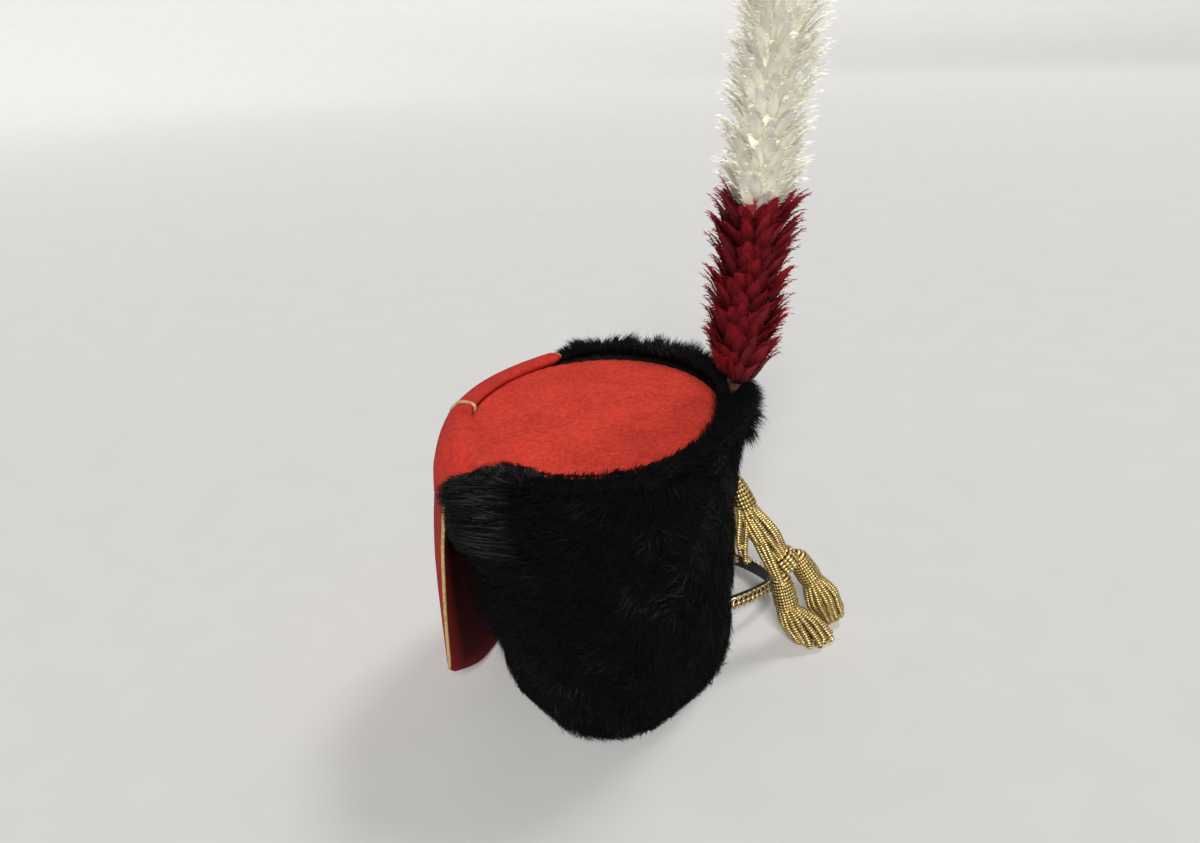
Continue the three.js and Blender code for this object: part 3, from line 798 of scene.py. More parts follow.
def wall_point(angle, height, outside):
    """A place beside the body wall, outside millimetres from its inner face."""
    share = height / WALL_HEIGHT
    front = np.maximum(0, -np.sin(angle))
    narrow = 1 - FRONT_TAPER * front**2 * np.maximum(0, 1 - share)
    half_width = lerp(RIM_HALF_WIDTH, TOP_HALF_WIDTH, share) * narrow
    normal = unit(np.stack([np.cos(angle) / half_width, np.sin(angle) / HALF_LENGTH], -1))
    x = half_width * np.cos(angle) + normal[..., 0] * outside
    y = HALF_LENGTH * np.sin(angle) + normal[..., 1] * outside
    return np.stack([x, y, height + 0 * x], -1)


def bag_press(angle, height):
    """1 where the bag lies on the fur, 0 away from it."""
    turn = turn_from(angle, math.pi - BAG_TURN)
    upper = smoothstep(height, *BAG_SPREADS)
    reach = lerp(BAG_HUG, np.where(turn > 0, BAG_REACH_FRONT, BAG_REACH_BACK), upper)
    return 1 - smoothstep(np.abs(turn), reach, reach + BAG_FADE)


def under_bag(points):
    """Which places are so far under the bag that nothing there can be seen."""
    angle = np.arctan2(points[:, 1], points[:, 0])
    return (bag_press(angle, points[:, 2]) > HIDDEN_PRESS) & (points[:, 2] > HIDDEN_ABOVE)


def near_turn(angle, middle, spread):
    """A soft bump round one angle of the hat."""
    return np.exp(-((turn_from(angle, middle) / spread) ** 2))


def pile(angle, height):
    """Depth of the fur over the wall."""
    c = np.cos(angle)
    tables = (PILE_ENDS, PILE_PLUME_SIDE, PILE_BAG_SIDE)
    ends, plume_side, bag_side = (np.interp(height, PILE_HEIGHT, table) for table in tables)
    depth = lerp(ends, np.where(c > 0, plume_side, bag_side), c * c)
    lump = np.interp(height, SIDE_LUMP_HEIGHT, SIDE_LUMP)
    depth = depth + near_turn(angle, SIDE_LUMP_AT, SIDE_LUMP_SPREAD) * lump
    low = np.exp(-((height / FOOT_THIN_HEIGHT) ** 2))
    for turn, spread, share in FOOT_THIN:
        depth = depth * (1 - share * low * near_turn(angle, math.radians(turn), spread))
    return depth * (1 - PRESSED_SHARE * bag_press(angle, height))


def fur_crest(angle):
    """Height of the fur's upper edge."""
    rise = np.interp(np.degrees(angle) % 360, CREST_TURN, CREST_RISE)
    return lerp(rise, PRESSED_CREST, bag_press(angle, CREST_HEIGHT))


def fur_flow(angle, height):
    """Which way the fur is combed: sideways round the hat and upwards, as a unit pair."""
    swept = -1.1 * np.maximum(0, np.cos(angle - SWEEP_AT)) * smoothstep(height, 15, 90)
    sideways = swept + 0.55 * ripple(angle, height, seed=11, waves=9, run=19)
    upwards = -0.6 + 0.5 * ripple(angle, height, seed=12, waves=11, run=16)
    upwards = lerp(upwards, -1.0, smoothstep(height, 45, 8))
    return unit(np.stack([sideways, upwards], -1))


def turned(flow, turn):
    c, s = np.cos(turn), np.sin(turn)
    return np.stack([c * flow[:, 0] - s * flow[:, 1], s * flow[:, 0] + c * flow[:, 1]], -1)


def pelt():
    """The skin under the hair: up the inside of the wall, over the crest and down the outside."""
    turns, rows = 150, 40
    inside_heights = (0, 70, 140, WALL_HEIGHT)
    angle = np.arange(turns) * TAU / turns
    crest = fur_crest(angle)
    drop = 2 + 8 * (np.interp(np.degrees(angle), CREST_TURN, CREST_LONG) - 0.5)
    ground = np.zeros(turns)
    places = [(height, 0) for height in inside_heights]
    places += [(WALL_HEIGHT, WALL), (WALL_HEIGHT + 1, WALL + 0.8)]
    places += [(crest - drop, WALL + 3.0), (crest - drop, WALL + 0.35 * pile(angle, crest))]
    for share in np.linspace(1, 0, rows):
        height = 0.3 + share * (crest - 12)
        lump = 1 + 0.16 * ripple(angle, height, seed=21, waves=26, run=7)
        places.append((height, WALL + 0.5 * lump * pile(angle, height)))
    places.append((ground, WALL + 0.4 * pile(angle, ground)))
    rings = [wall_point(angle, np.full(turns, height), np.full(turns, out)) for height, out in places]
    faces = grid_faces(len(rings), turns, wrap_rows=True, wrap_columns=True, flip=True)
    inside = np.repeat(np.arange(len(rings)) < len(inside_heights) - 1, turns)[faces].all(axis=1)
    marks = even_marks(len(rings) * turns, tone=0.2, along=0.1)
    return {"points": np.concatenate(rings), "faces": faces, "face_finish": inside, "marks": marks}


def clear_of_bag(points, cloth):
    """Pulls hair points that would come through the bag back under it."""
    for i in np.flatnonzero((points[:, 0] < CLOTH_SIDE) & (points[:, 2] < CLOTH_TOP)):
        x, y, z = points[i]
        reach = math.hypot(x, y)
        distance = cloth.ray_cast(Vector(to_row((0, 0, z))), Vector((x / reach, y / reach, 0)))[3]
        if distance is not None and distance / MM < reach + CLOTH_CLEAR:
            points[i, :2] *= (distance / MM - CLOTH_CLEAR) / reach
    return points


def wall_hair(root, tip, bend):
    """Root, middle and tip of hairs whose ends are angle, height and depth. bend places the middle."""
    middle = [lerp(a, b, share) for a, b, share in zip(root, tip, bend)]
    return [wall_point(*place) for place in (root, middle, tip)]


def body_coat(rng, clumps, each, length, loose):
    """Hair on the body in combed clumps. loose is 0 for hair that keeps to its clump."""
    index = np.arange(clumps)
    angle = TAU * ((0.5 + index * EVEN_ROUND) % 1)
    height = 2 + ((0.5 + index * EVEN_UP) % 1) * (fur_crest(angle) - 10)
    sway = rng.normal(0, 0.45, clumps)
    flow = turned(fur_flow(angle, height), sway)
    size = length * rng.uniform(0.7, 1.25, clumps)
    clump_angle = angle + flow[:, 0] * size / FUR_RADIUS
    clump_height = height + flow[:, 1] * size
    swell = 1 + 0.14 * ripple(angle, height, seed=31, waves=24, run=8) + rng.normal(0, 0.1, clumps)
    pick = np.repeat(index, each)
    count = len(pick)
    root_angle = angle[pick] + rng.normal(0, 5, count) / FUR_RADIUS
    root_height = np.clip(height[pick] + rng.normal(0, 4.5, count), 1.5, fur_crest(root_angle) - 7)
    stir = 0.8 * sway[pick] + rng.normal(0, 0.2 + 0.3 * loose, count)
    lay = turned(fur_flow(root_angle, root_height), stir)
    run = size[pick] * rng.uniform(0.7, 1.15, count)
    pull = rng.uniform(0.35, 0.95, count) * (1 - loose)
    tip_angle = lerp(root_angle + lay[:, 0] * run / FUR_RADIUS, clump_angle[pick], pull)
    tip_height = lerp(root_height + lay[:, 1] * run, clump_height[pick], pull)
    tip_height = np.maximum(tip_height, FLOOR_CLEAR + rng.uniform(0, 2, count))
    lift = np.minimum(swell[pick] * rng.uniform(0.8, 1.08 + 0.25 * loose, count), 1.25)
    stray = (rng.uniform(0, 1, count) > 0.88) * smoothstep(root_height, 75, 15)
    lift = lift + 0.45 * stray * rng.uniform(0.3, 1, count)
    root_out = WALL + 0.35 * pile(root_angle, root_height)
    tip_out = WALL + pile(tip_angle, tip_height) * lift
    ends = (root_angle, root_height, root_out), (tip_angle, tip_height, tip_out)
    return wall_hair(*ends, bend=(0.4, 0.34, 0.74))


def off_stem(points):
    """How far places stand from the plume's axis, sideways and backwards."""
    return (points - plume_axis(points[:, 2] - PLUME_FOOT[2]))[:, :2]


def crest_coat(rng, count, length):
    """Hair round the crown in small locks, standing up inside and turning outwards."""
    angle = rng.uniform(0, TAU, count)
    share = np.maximum(0, rng.uniform(-0.3, 1, count))
    free = 1 - bag_press(angle, CREST_HEIGHT)
    turn = np.degrees(angle)
    lock = np.round(angle / TAU * CREST_LOCKS + rng.normal(0, 0.3, count))
    long = length * np.interp(turn, CREST_TURN, CREST_LONG)
    uneven = 0.2 * ripple(angle, 0, seed=41, waves=30, run=1) + 0.2 * np.sin(LOCK_STEPS[0] * lock)
    run = long * (1 + uneven) * rng.uniform(0.7, 1.15, count) * np.clip(free, 0.4, 1)
    crest = fur_crest(angle)
    depth = pile(angle, crest)
    root_out = WALL + 0.6 + share * 0.62 * depth
    root_height = crest + 1.2 - 0.95 * long + 0.35 * long * np.sin(math.pi * share)
    inner = lerp(WALL_HEIGHT + 2, np.maximum(WALL_HEIGHT + 3, crest - 7), rng.uniform(0, 1, count))
    root_height = np.where(share > 0, root_height, inner)
    lean = np.interp(turn, CREST_TURN, CREST_LEAN)
    sideways = lean + 0.45 * ripple(angle, 0, seed=42, waves=26, run=1) + rng.normal(0, 0.35, count)
    outwards = lerp(-0.12, 1.15, share) + rng.normal(0, 0.2, count)
    upwards = lerp(1.0, 0.45, share) + rng.normal(0, 0.15, count)
    lock_tip = lock * TAU / CREST_LOCKS + (lean + 0.5 * np.sin(LOCK_STEPS[1] * lock)) * run / FUR_RADIUS
    tip_angle = lerp(angle + sideways * run / FUR_RADIUS, lock_tip, 0.6)
    tip_out = np.minimum(root_out + outwards * run, WALL + 1.2 * depth + rng.uniform(-2, 2, count))
    above = 11 * (long / length - 0.5)
    highest = crest + np.where(share > 0, above, 0.6 * above - 1) + rng.uniform(-1.5, 1, count)
    highest = highest + 4 * rng.uniform(0, 1, count) ** 4
    tip_height = np.minimum(root_height + upwards * run, highest)
    ends = (angle, root_height, root_out), (tip_angle, tip_height, tip_out)
    hair = wall_hair(*ends, bend=(0.35, 0.55, 0.38))
    beside, behind = off_stem(hair[2]).T
    before = (np.abs(beside) < STEM_PARTING) & (behind > PARTING_FROM) & (behind < PARTING_TO)
    parted = before & (tip_height > PARTING_ABOVE)
    buried = (share == 0) & (crest < WALL_HEIGHT + 2)
    keep = (free > 0.12) & (np.hypot(beside, behind) > STEM_CLEAR) & ~parted & ~buried
    return [row[keep] for row in hair]


def side_tuft(rng, count):
    """Long hair combed over the bag's front edge where the bag leaves the crown."""
    lowest, highest = TUFT_RISE[0], TUFT_RISE[-1]
    z = lerp(lowest, highest, rng.uniform(0, 1, count) ** 0.75)
    x = np.interp(z, TUFT_RISE, TUFT_EDGE) + TUFT_WIDTH * rng.uniform(0, 1, count) ** 1.7
    full = np.sin(math.pi * (z - lowest) / (highest - lowest))
    y = np.interp(x, *TUFT_FACE) - 6 * full + rng.normal(0, 1.6, count)
    tip = np.stack([x, y, z], -1)
    angle = np.radians(rng.uniform(*TUFT_ROOTS, count))
    height = np.clip(z + 3 + rng.normal(0, 5, count), *TUFT_ROOT_RISE)
    root = wall_point(angle, height, WALL + rng.uniform(6, 16, count))
    return root, lerp(root, tip, 0.58) + (-1.0, -3.5, 1.5), tip


def brow_tuft(rng, count):
    """Short hair that stands up in front of the crown beside the bag."""
    share = rng.uniform(0, 1, count)
    tip = np.stack([table_at(axis, share) for axis in np.transpose(BROW)], -1)
    tip = tip + rng.normal(0, 1, (count, 3)) * (1.0, 1.6, 0.8)
    tip[:, 2] += 5 * rng.uniform(0, 1, count) ** 4 - 8 * rng.uniform(0, 1, count) ** 1.3
    lean = table_at(BROW_LEAN, share) + rng.normal(0, 2.5, count)
    rise = table_at(BROW_LIFT, share) * rng.uniform(0.8, 1.25, count)
    root = tip - np.stack([lean, np.full(count, -3.5), rise], -1)
    return root, lerp(root, tip, 0.5) + (0, -1.5, 0), tip


def plume_lock(rng, count):
    """Loose hair beside the plume that stands out and hangs over the tassel."""
    share = rng.uniform(0, 1, count)
    tip = np.stack([table_at(LOCK_OUT, share), np.full(count, LOCK_BACK), table_at(LOCK_RISE, share)], -1)
    tip = tip + rng.normal(0, 1, (count, 3)) * (0.8, 5, 1.5)
    tip[:, 0] += 4 * rng.uniform(0, 1, count) ** 5 - 17 * rng.uniform(0, 1, count) ** 1.2
    angle = np.radians(rng.uniform(*LOCK_ROOTS, count))
    height = lerp(*LOCK_ROOT_RISE, share) + rng.normal(0, 3, count)
    height = np.minimum(height, LOCK_ROOT_TOP)
    root = wall_point(angle, height, WALL + rng.uniform(7, 15, count))
    middle = lerp(root, tip, 0.5) + (3, 0, 3)
    keep = np.hypot(*off_stem(middle).T) > STEM_PARTING
    return root[keep], middle[keep], tip[keep]


def hair_mesh(rng, root, middle, tip, width, gloss_and_painted_sheen=0.0):
    """Mesh data for bent hairs, with a tone and a place along the hair at each point."""
    count = len(root)
    radius = width * rng.uniform(0.7, 1.3, count)
    points, faces, size = needles(root, middle, tip, radius, rng.uniform(0, TAU, count))
    angle = np.arctan2(root[:, 1], root[:, 0])
    # Painted sheen: lighter patches and the gloss share raise the tone, which greys hair tips and makes them
    # less rough.
    patch = smoothstep(ripple(angle, root[:, 2], seed=51, waves=15, run=13), 0.1, 1.0)
    light = lerp(0.82, 1.0, np.maximum(patch, gloss_and_painted_sheen))
    tone = np.repeat(rng.uniform(0, 1, count) ** (1 - 0.4 * gloss_and_painted_sheen) * light, size)
    along = np.tile((0.0, 0.45, 0.45, 0.45, 1.0), count)
    shift = np.tile((0.0, -0.008, 0.0, 0.008, 0.0), count)
    atlas = np.stack([0.02 + 0.96 * tone + shift, 0.02 + 0.96 * along], -1)
    marks = {"tone": tone, "along": along}
    return {"points": points, "faces": faces, "marks": marks, "atlas": atlas}


class FurSettings(bpy.types.PropertyGroup):
    hair_colour: colour_setting("Hair colour", "Colour of the hair tips", (0.0026, 0.0026, 0.0031))
    root_colour: colour_setting("Root colour", "Colour of the hair near the skin", (0.0015, 0.0014, 0.0014))
    # Painted sheen: grey for the tips of the highest-toned hairs.
    painted_sheen_colour: colour_setting("Grey hair colour", "Colour of the few lighter hairs", (0.075, 0.073, 0.077))
    wall_colour: colour_setting("Wall colour", "Colour of the wall inside the hat", (0.03, 0.028, 0.027))
    wall_dark: colour_setting("Dark wall colour", "Colour of the wall's dark patches", (0.012, 0.012, 0.013))
    hair_length: length_setting("Hair length", "How far a hair lies along the body", 0.0165)
    crest_length: length_setting("Crest length", "Length of the hair round the crown", 0.0145)
    hair_width: length_setting("Hair width", "Radius of a hair at its middle", 0.00028)
    clumps: number_setting("Clumps", "Clumps of hair in each coat of the body", 2220)
    hairs: number_setting("Hairs in a clump", "Hairs in one clump", 9)
    coats: number_setting("Coats", "Coats of hair on the body, each looser than the last", 4)
    crest_hairs: number_setting("Crest hairs", "Hairs round the crown", 18000)
    brow_hairs: number_setting("Brow hairs", "Upright hairs beside the bag in front of the crown", 2000)
    tuft_hairs: number_setting("Tuft hairs", "Hairs combed over the bag's front edge", 4200)
    lock_hairs: number_setting("Lock hairs", "Loose hairs beside the plume", 2000)
    seed: number_setting("Seed", "Changes how the hair falls", 5)


class BUSBY_OT_fur(bpy.types.Operator):
    """Make the fur: the skin with the wall inside it, the coats of body hair, the crest, tufts and lock"""

    bl_idname = "busby.fur"
    bl_label = "Fur"

    def execute(self, context):
        settings = context.scene.busby_fur
        coat = fur_finish(settings)
        skin = add_piece("fur_skin", [coat, wall_finish(settings)], "fur", **pelt())
        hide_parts("fur_body")
        cloth = bag_cover()
        width = settings.hair_width / MM
        for number in range(settings.coats):
            rng = np.random.default_rng(settings.seed + number)
            length = settings.hair_length / MM * (0.85 + 0.12 * number)
            hair = body_coat(rng, settings.clumps, settings.hairs, length, 0.18 * number)
            shown = ~under_bag(hair[0])
            hair = [clear_of_bag(row[shown], cloth) for row in hair]
            self.add_hair("fur_coat_%d" % number, rng, hair, width * (1.1 - 0.1 * number), coat)
        rng = np.random.default_rng(settings.seed + 9)
        crest = crest_coat(rng, settings.crest_hairs, settings.crest_length / MM)
        self.add_hair("fur_crest", rng, crest, width, coat)
        tufts = zip(side_tuft(rng, settings.tuft_hairs), brow_tuft(rng, settings.brow_hairs))
        tufts = [np.concatenate(pair) for pair in tufts]
        # The tuft gets more painted sheen and gloss: more of its hairs grey at the tip.
        self.add_hair("fur_tuft", rng, tufts, 1.15 * width, coat, gloss_and_painted_sheen=1.4)
        self.add_hair("fur_lock", rng, plume_lock(rng, settings.lock_hairs), width, coat)
        return {"FINISHED"}

    def add_hair(self, name, rng, hair, width, coat, gloss_and_painted_sheen=0.0):
        add_piece(name, [coat], "fur", **hair_mesh(rng, *hair, width, gloss_and_painted_sheen), sharp=0)


# Felt


def crown_height(x, y):
    """The crown cloth: a shallow dome with soft dents."""
    share2 = (x / CROWN_HALF_WIDTH) ** 2 + (y / CROWN_HALF_LENGTH) ** 2
    dents = 0.7 * np.sin(x / 31 + 0.6) * np.sin(y / 27 - 0.4) + 0.35 * np.sin(x / 13 + y / 17)
    dome = CROWN_DOME * (1 - share2)
    return WALL_HEIGHT + CROWN_SEAT + dome + dents * np.clip(1.15 - share2, 0, 1)


def crown_cloth(thick):
    """The crown's closed sheet, tucked in and puckered at its edge."""
    turns, rings = 144, 34
    angle = np.arange(turns) * TAU / turns
    shares = np.linspace(0.02, 1, rings) ** 0.85
    edge = wall_point(angle, np.full(turns, WALL_HEIGHT), np.full(turns, WALL - 0.4))
    x, y = (shares[:, None] * edge[:, axis] for axis in (0, 1))
    tuck = 1.4 * smoothstep(shares, 0.95, 1.0)[:, None]
    pucker = 0.3 * smoothstep(shares, 0.8, 0.98)[:, None] * np.sin(52 * angle)[None]
    top = np.stack([x, y, crown_height(x, y) - tuck + pucker], -1)
    bottom = top - thick * UP
    centres = [top[0].mean(0), bottom[0].mean(0)]
    points = np.concatenate([top.reshape(-1, 3), bottom.reshape(-1, 3), centres])
    back = rings * turns
    here = np.arange(turns)
    ahead = np.roll(here, -1)
    rim = back - turns + np.stack([here, here + back, ahead + back, ahead], -1)
    upper = grid_faces(rings, turns, wrap_columns=True, flip=True)
    lower = grid_faces(rings, turns, back, wrap_columns=True)
    caps = np.concatenate([fan(2 * back, here), fan(2 * back + 1, back + here, flip=True)])
    return {"points": points, "faces": [np.concatenate([upper, lower, rim]), caps]}


def bag_middle(station, across):
    """The bag's middle surface: station 0 on the crown to 9 at the edge, across -1 front to 1 back."""
    rows = np.arange(BAG_LAST + 1)
    half, swing, back_wide, fall_back = (
        np.interp(station, rows, table) for table in (BAG_HALF, BAG_SWING, BAG_BACK_WIDE, BAG_FALL_BACK))
    width = half * across - swing
    width = width + back_wide * smoothstep(across, 0.2, 1.0)
    upper = np.minimum(station, BAG_LAST - 1)
    rolled = smoothstep(across, BAG_ROLL_FROM, BAG_ROLL_FULL)
    height = lerp(smooth_run(BAG_RISE_FLUSH, upper), smooth_run(BAG_RISE_ROLLED, upper), rolled)
    on_top = smoothstep(station, 0.5, 2) * smoothstep(station, 6.4, 4.4)
    height = height - on_top * BAG_DROOP * smoothstep(-across, 0.66, 1.0)
    height = height - on_top * BAG_PINCH * np.exp(-(((across + 0.03) / 0.05) ** 2))
    out = lerp(smooth_run(BAG_OUT_FLUSH, station), smooth_run(BAG_OUT_ROLLED, station), rolled)
    off_tip = across - BAG_TIP_ACROSS
    away = np.abs(off_tip) / (1 - np.sign(off_tip) * BAG_TIP_ACROSS)
    corner = 3 * smoothstep(away, 0.88, 1.0) ** 2
    edge = lerp(BAG_TIP, BAG_CORNER, away**1.8) + corner
    height = lerp(height, edge, np.clip(station - BAG_LAST + 1, 0, 1))
    out = out - fall_back * (width / BAG_SPAN) ** 2
    hang = smoothstep(station, 4.2, 6.5)
    out = out + hang * (1.3 * np.sin(across * 4.1 + station * 0.7) + 0.7 * np.sin(across * 9 - station))
    c, s = math.cos(BAG_TURN), math.sin(BAG_TURN)
    return np.stack([-c * out + s * width, s * out + c * width, height], -1)


def bag_puff(station, across):
    """How far the doubled cloth stands off its middle: flat on the crown, full where it hangs."""
    return BAG_SKIN + np.interp(station, BAG_PUFF_AT, BAG_PUFF) * (1 - np.abs(across) ** 8)


def bag_normal(station, across):
    """The way out of the bag's outer face."""
    step = 0.02
    lower, upper = np.minimum(station + step, BAG_LAST), np.maximum(station - step, 0)
    after, before = np.minimum(across + step, 1), np.maximum(across - step, -1)
    down = bag_middle(lower, across) - bag_middle(upper, across)
    over = bag_middle(station, after) - bag_middle(station, before)
    return unit(np.cross(over, down))


def bag_cloth():
    """The bag's closed sheet, with its inner face set apart and its places marked."""
    rows, columns = 96, 64
    station = np.linspace(0, BAG_LAST, rows)[:, None] + np.zeros((1, columns))
    across = np.sin(np.linspace(-1, 1, columns) * math.pi / 2)[None] + np.zeros((rows, 1))
    middle, normal = bag_middle(station, across), bag_normal(station, across)
    outer = bag_puff(station, across)[..., None]
    inner = BAG_SKIN + BAG_INNER_SHARE * (outer - BAG_SKIN)
    points, faces = closed_sheet(middle + outer * normal, middle - inner * normal)
    inside = (faces >= rows * columns).all(axis=1)
    flush = smoothstep(across, BAG_ROLL_FULL, BAG_ROLL_FROM - 0.1)
    marks = {
        # seam: the inner face's painted shade is lightest by its side edges and its lower edge.
        "seam": np.maximum(np.abs(across), 0.85 * smoothstep(station, BAG_LAST - 2.4, BAG_LAST)),
        # hang: painted shade on the bag, from none above 198 mm to full below 150 mm.
        "hang": smoothstep(middle[..., 2], 198, 150),
        # join: where the bag lies flush on the crown, its painted shade gives way to the crown's colours.
        "join": 0.85 * flush * smoothstep(station, 3.6, 1.2),
    }
    marks = {name: np.tile(values.ravel(), 2) for name, values in marks.items()}
    return {"points": points, "faces": faces, "face_finish": inside, "marks": marks}


def bag_cover():
    """A search tree of the bag cloth, for keeping hair under it."""
    cloth = bag_cloth()
    return BVHTree.FromPolygons(to_row(cloth["points"]).tolist(), cloth["faces"].tolist())


def bag_line(across, first, last, lift, on_face=False, count=120):
    """A line on the bag from one station to another, lifted off its outer face or its seam."""
    station = np.linspace(first, last, count)
    place = np.linspace(*across, count)
    middle, normal = bag_middle(station, place), bag_normal(station, place)
    if on_face:
        return middle + (bag_puff(station, place)[:, None] + lift) * normal
    sideways = unit(middle - bag_middle(station, place * 0.98))
    return middle + lift * sideways


class FeltSettings(bpy.types.PropertyGroup):
    felt_colour: colour_setting("Felt colour", "Colour of the crown's raised nap", (0.86, 0.064, 0.038))
    felt_deep: colour_setting("Deep felt colour", "Colour between the crown's fibres", (0.40, 0.022, 0.015))
    # The bag's colours are the crown felt darkened: painted shade on the roll and flap, which less light
    # reaches.
    shaded_bag_colour: colour_setting("Bag colour", "Colour of the bag's raised nap", (0.65, 0.047, 0.030))
    shaded_bag_deep: colour_setting("Deep bag colour", "Colour between the bag's fibres", (0.32, 0.018, 0.013))
    # Painted shade where the bag hangs below the roll.
    bag_painted_shade: colour_setting("Hanging bag colour", "Colour where the bag hangs", (0.20, 0.014, 0.014))
    # Painted shade for the inner face: darkened felt by the seams and deep shade away from them.
    shaded_inside_colour: colour_setting("Inside colour", "Inner face beside the seams", (0.24, 0.015, 0.015))
    inside_painted_shade: colour_setting("Deep inside colour", "Inner face off the seams", (0.045, 0.005, 0.005))
    fleck_colour: colour_setting("Fleck colour", "Colour of lint specks in the felt", (0.2, 0.014, 0.011))
    sheen_colour: colour_setting("Sheen colour", "Tint of the felt seen edge on", (1.0, 0.36, 0.26))
    crown_thick: length_setting("Crown thickness", "Thickness of the crown cloth", 0.0016)


class BUSBY_OT_crown(bpy.types.Operator):
    """Make the felt crown"""

    bl_idname = "busby.crown"
    bl_label = "Felt crown"

    def execute(self, context):
        settings = context.scene.busby_felt
        felt = felt_finish("crown_felt", settings.felt_colour, settings.felt_deep, settings)
        crown = add_piece("crown_cloth", [felt], "red_felt", **crown_cloth(settings.crown_thick / MM))
        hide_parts("crown_top")
        return {"FINISHED"}


class BUSBY_OT_bag(bpy.types.Operator):
    """Make the felt bag that rolls over the side and hangs to a point"""

    bl_idname = "busby.bag"
    bl_label = "Felt bag"

    def execute(self, context):
        settings = context.scene.busby_felt
        crown = (settings.felt_colour, settings.felt_deep)
        own = (settings.shaded_bag_colour, settings.shaded_bag_deep)
        felt = felt_finish("bag_felt", *own, settings, low=settings.bag_painted_shade, beside=crown)
        bag = add_piece("bag_cloth", [felt, shaded_inside_finish(settings)], "red_felt", **bag_cloth())
        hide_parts("bag")
        return {"FINISHED"}


# Gold work


def wound_cord_group(name, finish):
    """Node group: a cord along each curve with ridges that wind round it."""
    tree = PathTree(name, {
        "Cord Radius": 0.002, "Ridge Spacing": 0.001, "Ridge Depth": 0.0004, "Strands": 1.0, "Step": 0.0004,
        "Sides": 8,
    })
    given = tree.given

    def named(shape, label, value):
        settings = {"data_type": "FLOAT", "domain": "POINT"}
        inputs = {"Geometry": shape, "Name": label, "Value": value}
        return tree.node("GeometryNodeStoreNamedAttribute", settings, inputs)

    def read(label):
        return tree.node("GeometryNodeInputNamedAttribute", {"data_type": "FLOAT"}, {"Name": label})

    length = tree.node("GeometryNodeSplineParameter", output="Length")
    factor = tree.node("GeometryNodeSplineParameter", output="Factor")
    path = {"Curve": given("Geometry"), "Length": given("Step")}
    even = tree.node("GeometryNodeResampleCurve", {"mode": "LENGTH"}, path)
    section = {"Resolution": given("Sides"), "Radius": given("Cord Radius")}
    circle = tree.node("GeometryNodeCurvePrimitiveCircle", None, section)
    cord = tree.node("GeometryNodeCurveToMesh", None, {
        "Curve": named(even, "along", length),
        "Profile Curve": named(circle, "around", factor),
        "Fill Caps": True,
    })
    phase = read("along") / given("Ridge Spacing") + read("around") * given("Strands")
    marked = named(cord, "ridge", abs((phase * math.pi).sine()))
    rise = (read("ridge") - 0.6) * given("Ridge Depth")
    normal = tree.node("GeometryNodeInputNormal")
    offset = tree.node("ShaderNodeVectorMath", {"operation": "SCALE"}, {0: normal, "Scale": rise})
    wound = tree.node("GeometryNodeSetPosition", None, {"Geometry": marked, "Offset": offset})
    smooth = tree.node("GeometryNodeSetShadeSmooth", None, {"Geometry": wound})
    return tree.close(smooth, finish)


def knitted_head(start, end, radii, stitch_rows, stitches, depth, lean=0.5, turns=96):
    """A bound head about a line: rows of knitted stitches over a turned body, with each point's ridge."""
    start, end = np.asarray(start, float), np.asarray(end, float)
    rows = stitch_rows * STITCH_STEPS + 1
    share = np.linspace(0, 1, rows)
    angle = np.arange(turns) * TAU / turns
    phase = share[:, None] * stitch_rows
    swing = (lean * np.sin(math.pi * phase)) * (1 - 2 * (np.floor(phase) % 2))
    purl = np.abs(np.sin(0.5 * stitches * angle[None] + swing))
    bead = np.abs(np.sin(math.pi * phase)) ** 0.6
    ridge = bead * (0.3 + 0.7 * purl)
    radius = table_at(radii, share)[:, None] + depth * (ridge - 0.5)
    along = unit(end - start)
    side, other = across_axes(along)
    centre = start + share[:, None, None] * (end - start)
    ring = np.cos(angle)[:, None] * side + np.sin(angle)[:, None] * other
    body = (centre + radius[..., None] * ring).reshape(-1, 3)
    points = np.concatenate([body, [start - along * 0.5, end + along * 0.5]])
    marks = {"ridge": np.concatenate([ridge.ravel(), (0.5, 0.5)])}
    return {"points": points, "faces": tube_faces(rows, turns), "marks": marks}


def head_axes(head):
    """The lower end of a tassel head and the way it points."""
    start, end = (np.asarray(place, float) for place in head[:2])
    return end, unit(end - start)


def strand_ray(head, turn):
    """The way out of a tassel head at a turn in degrees."""
    sideways, backwards = across_axes(head_axes(head)[1])
    angle = math.radians(turn)
    return math.cos(angle) * backwards - math.sin(angle) * sideways


def strand(rng, head, turn, stop, spread, bow, looped):
    """One bullion strand that leaves the lower end of a head, bows out and may end in a small loop."""
    end, along = head_axes(head)
    ray = strand_ray(head, turn)
    wide = head[3]
    first = end - 4 * along + spread * (wide - 3) * ray
    leave = end + 1.5 * along + spread * (wide - 2.2) * ray
    middle = lerp(first, stop, 0.45) + bow * (0.9 * along + ray) + rng.normal(0, 0.4, 3)
    near = lerp(first, stop, 0.82) + 0.35 * bow * ray + rng.normal(0, 0.3, 3)
    run = [first, leave, middle, near, stop]
    if looped:
        away = unit(stop - near)
        run += [stop + on * away - back * ray for on, back in ((1.8, 1.0), (0.8, 3.0), (-1.4, 2.6))]
    run = np.array(run)
    run[:, 2] = np.maximum(run[:, 2], STRAND_FLOOR)
    return smooth_line(run, 14 * len(run))


def hanging_strand(leave, stop):
    """A short strand that hangs almost straight and ends in a small loop."""
    leave, stop = np.array(leave), np.array(stop)
    sway = np.array((0.5, 0.4, 0))
    run = [leave, lerp(leave, stop, 0.35) + sway, lerp(leave, stop, 0.75) - sway, stop]
    run += [stop + bend for bend in ((0.9, 0, -1.8), (2.3, 0, -0.8), (1.9, 0, 1.6))]
    return smooth_line(run, 14 * len(run))


